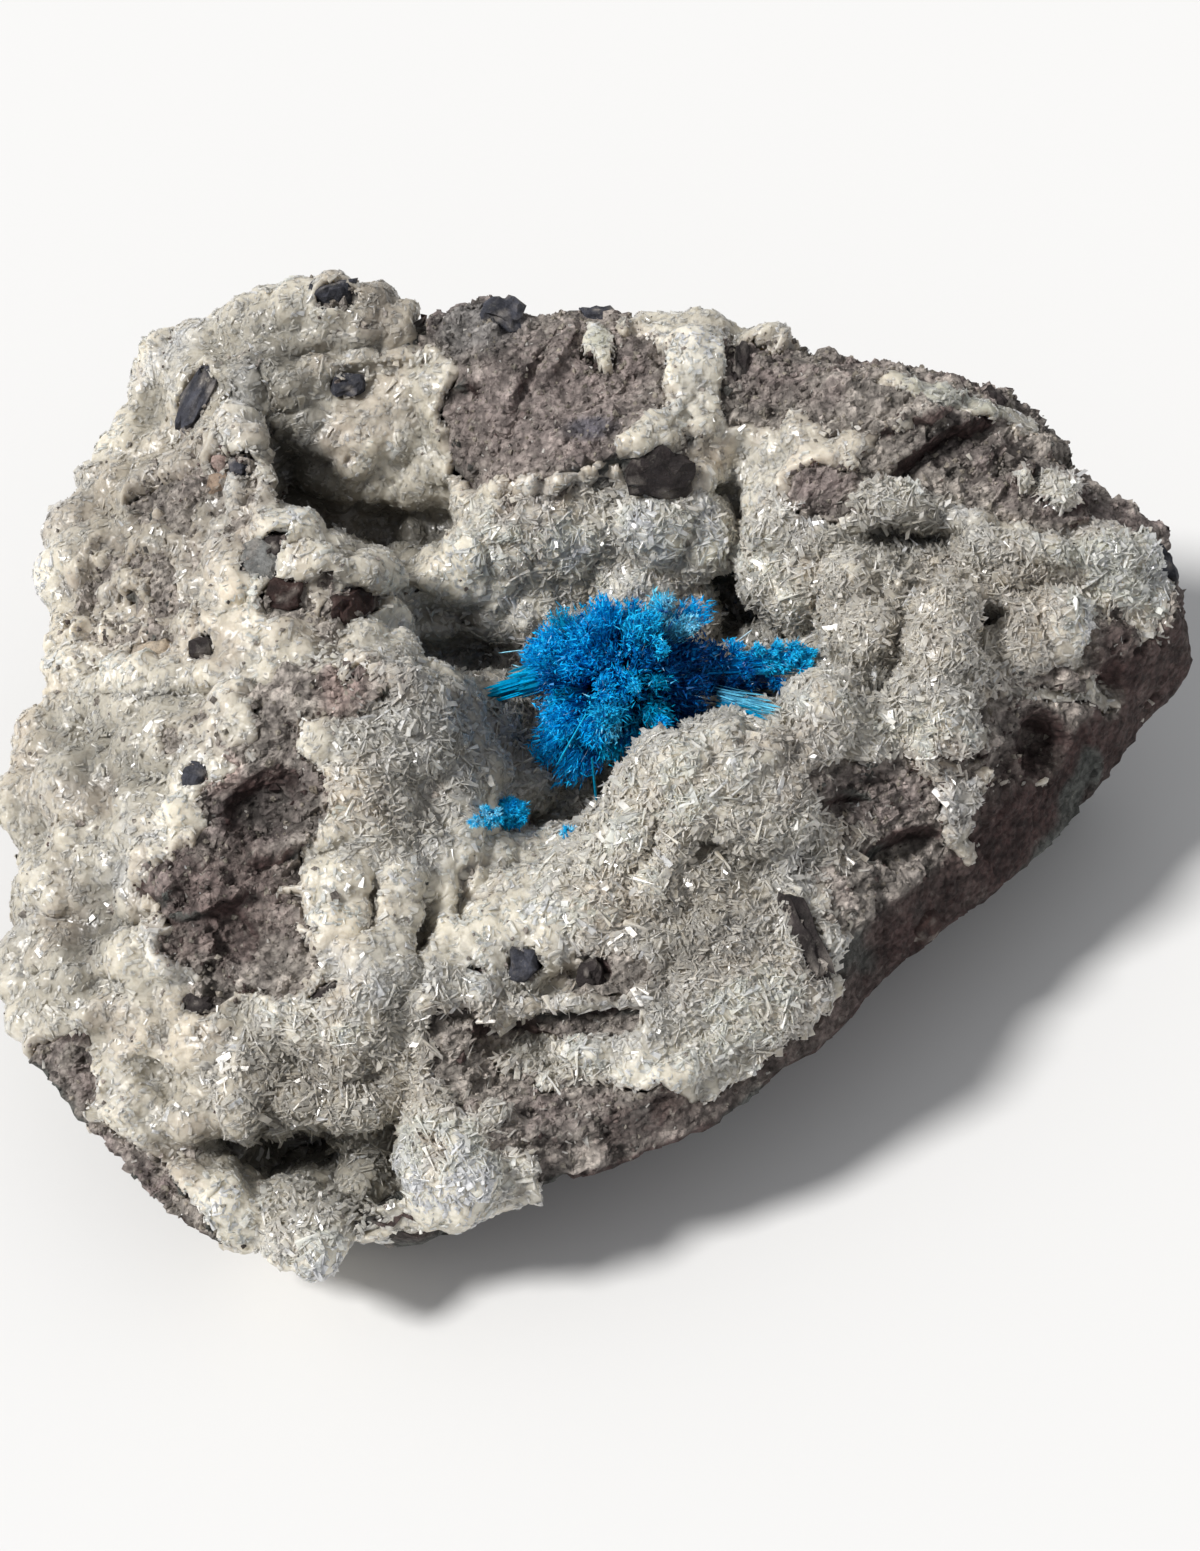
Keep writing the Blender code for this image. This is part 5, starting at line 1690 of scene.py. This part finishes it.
def make_rosette(view, dice, material):
    """The main rosette: its ball of tufts, its arm to the right and its wedge to the left."""
    sprays = Sprays(view, dice)
    radii = 0.93 * np.array(BALL_RADII)
    filling = (FILLING_TUFTS, FILLING_BLADES, 11, 0.17, FILLING_COLOURS)
    sprays.ball(BALL_MIDDLE, radii, *filling, painted_right_shade=PAINTED_SHADE_BLUE)
    core = (CORE_TUFTS, CORE_BLADES, 14, 0.45, (ROOT_BLUE_AND_PAINTED_SHADE,))
    sprays.ball(BALL_MIDDLE, radii * CORE_SHARE, *core)
    for across, down, angle, count, width, reach, colour in TUFTS.values():
        tip = BALL_MIDDLE + (on_ball(view, across, down) - BALL_MIDDLE) * reach
        root = BALL_MIDDLE + (tip - BALL_MIDDLE) * BALL_ROOT
        sprays.fan(root, tip, angle, count, width, colour)
    for start, end, nearer, in_front, thickness, count, width, colour in BUNDLES.values():
        first = view.level_with(BALL_MIDDLE, *start, nearer)
        sprays.bundle(first, view.in_front(*end, in_front), thickness, count, width, colour)
    start = view.level_with(BALL_MIDDLE, *ARM_START, 0.5)
    end = view.in_front(*ARM_END, 1.1)
    for across, down, nearer, reach, colour in KNOTS.values():
        share = (across - ARM_START[0]) / (ARM_END[0] - ARM_START[0])
        middle = view.level_with(start + (end - start) * share, across, down, nearer)
        sprays.tussock(middle, view.right, reach, KNOT_TUFTS, TUSSOCK_BLADES, 0.12, colour)
    for across, down, reach, colour in CLUMPS.values():
        middle = BALL_MIDDLE + (on_ball(view, across, down) - BALL_MIDDLE) * 0.95
        outward = unit(middle - BALL_MIDDLE)
        sprays.tussock(middle, outward, reach, CLUMP_TUFTS, TUSSOCK_BLADES, 0.11, colour)
    for start, end, width, colour in SINGLES.values():
        first = view.level_with(on_ball(view, *start), *start, 0.15)
        sprays.single(first, view.level_with(on_ball(view, *end), *end, 0.25), width, colour)
    sprays.piece("cavansite_rosette", "cavansite_cluster", material)


def make_small_growth(view, dice, material, balls, name, node, slot):
    """A small growth in front of the stone, made of one ball of tufts or more."""
    sprays = Sprays(view, dice)
    for across, down, nearer, radii, *settings in balls.values():
        sprays.ball(view.in_front(across, down, nearer), np.array(radii), *settings)
    sprays.piece(name, node, material)


def make_cavansite(stone, dice):
    """The three blue growths, at their places on the finished surface."""
    stone.view.look_at(stone.skin, stone.triangles)
    made = (stone.view, dice, cavansite_finish())
    make_rosette(*made)
    small = ("cavansite_small", "cavansite_small_rosette", "cavansite")
    make_small_growth(*made, SMALL_ROSETTE, *small)
    make_small_growth(*made, WISP, "cavansite_wisp", "cavansite_tuft", "cavansite_pale")


# Stage

def make_stage():
    """A pale floor, a key light from the upper left, and a soft fill."""
    mesh = bpy.data.meshes.new("floor")
    signs = ((-1, -1), (1, -1), (1, 1), (-1, 1))
    corners = [(FLOOR_REACH * x, FLOOR_REACH * y, 0) for x, y in signs]
    mesh.from_pydata(corners, [], [(0, 1, 2, 3)])
    floor = bpy.data.objects.new("floor", mesh)
    bpy.context.scene.collection.objects.link(floor)
    settings = {"Base Color": FLOOR_COLOUR, "Roughness": 0.9, "Specular IOR Level": 0.1}
    mesh.materials.append(Finish("paper", settings).material)

    key = bpy.data.objects.new("key", bpy.data.lights.new("key", "SUN"))
    key.data.energy = LIGHT_STRENGTH
    key.data.angle = math.radians(LIGHT_WIDTH)
    key.data.color = LIGHT_COLOUR
    key.rotation_euler = Vector(LIGHT_WAY).to_track_quat("-Z", "Y").to_euler()
    bpy.context.scene.collection.objects.link(key)

    world = bpy.data.worlds.new("sky")
    world.use_nodes = True
    background = world.node_tree.nodes["Background"]
    background.inputs["Color"].default_value = SKY_COLOUR
    background.inputs["Strength"].default_value = SKY_STRENGTH
    bpy.context.scene.world = world
    bpy.context.scene.view_settings.view_transform = "Standard"


def make_camera():
    tilt = math.radians(CAMERA_ELEVATION)
    target = Vector(CAMERA_TARGET) * MM
    ahead = Vector((0, math.cos(tilt), -math.sin(tilt)))
    camera = bpy.data.objects.new("camera", bpy.data.cameras.new("camera"))
    camera.data.lens = LENS
    camera.data.sensor_width = SENSOR
    camera.data.clip_start = 0.01
    camera.location = target - ahead * CAMERA_DISTANCE * MM
    camera.rotation_euler = ahead.to_track_quat("-Z", "Y").to_euler()
    bpy.context.scene.collection.objects.link(camera)
    bpy.context.scene.camera = camera


def main():
    make_camera()
    make_stage()
    stone = Stone(PhotoView())
    make_basalt(stone)
    make_stones(stone)
    make_grit(stone, np.random.default_rng(13))
    make_druse_base(stone)
    make_druse_blades(stone, np.random.default_rng(7))
    make_cavansite(stone, np.random.default_rng(11))


main()
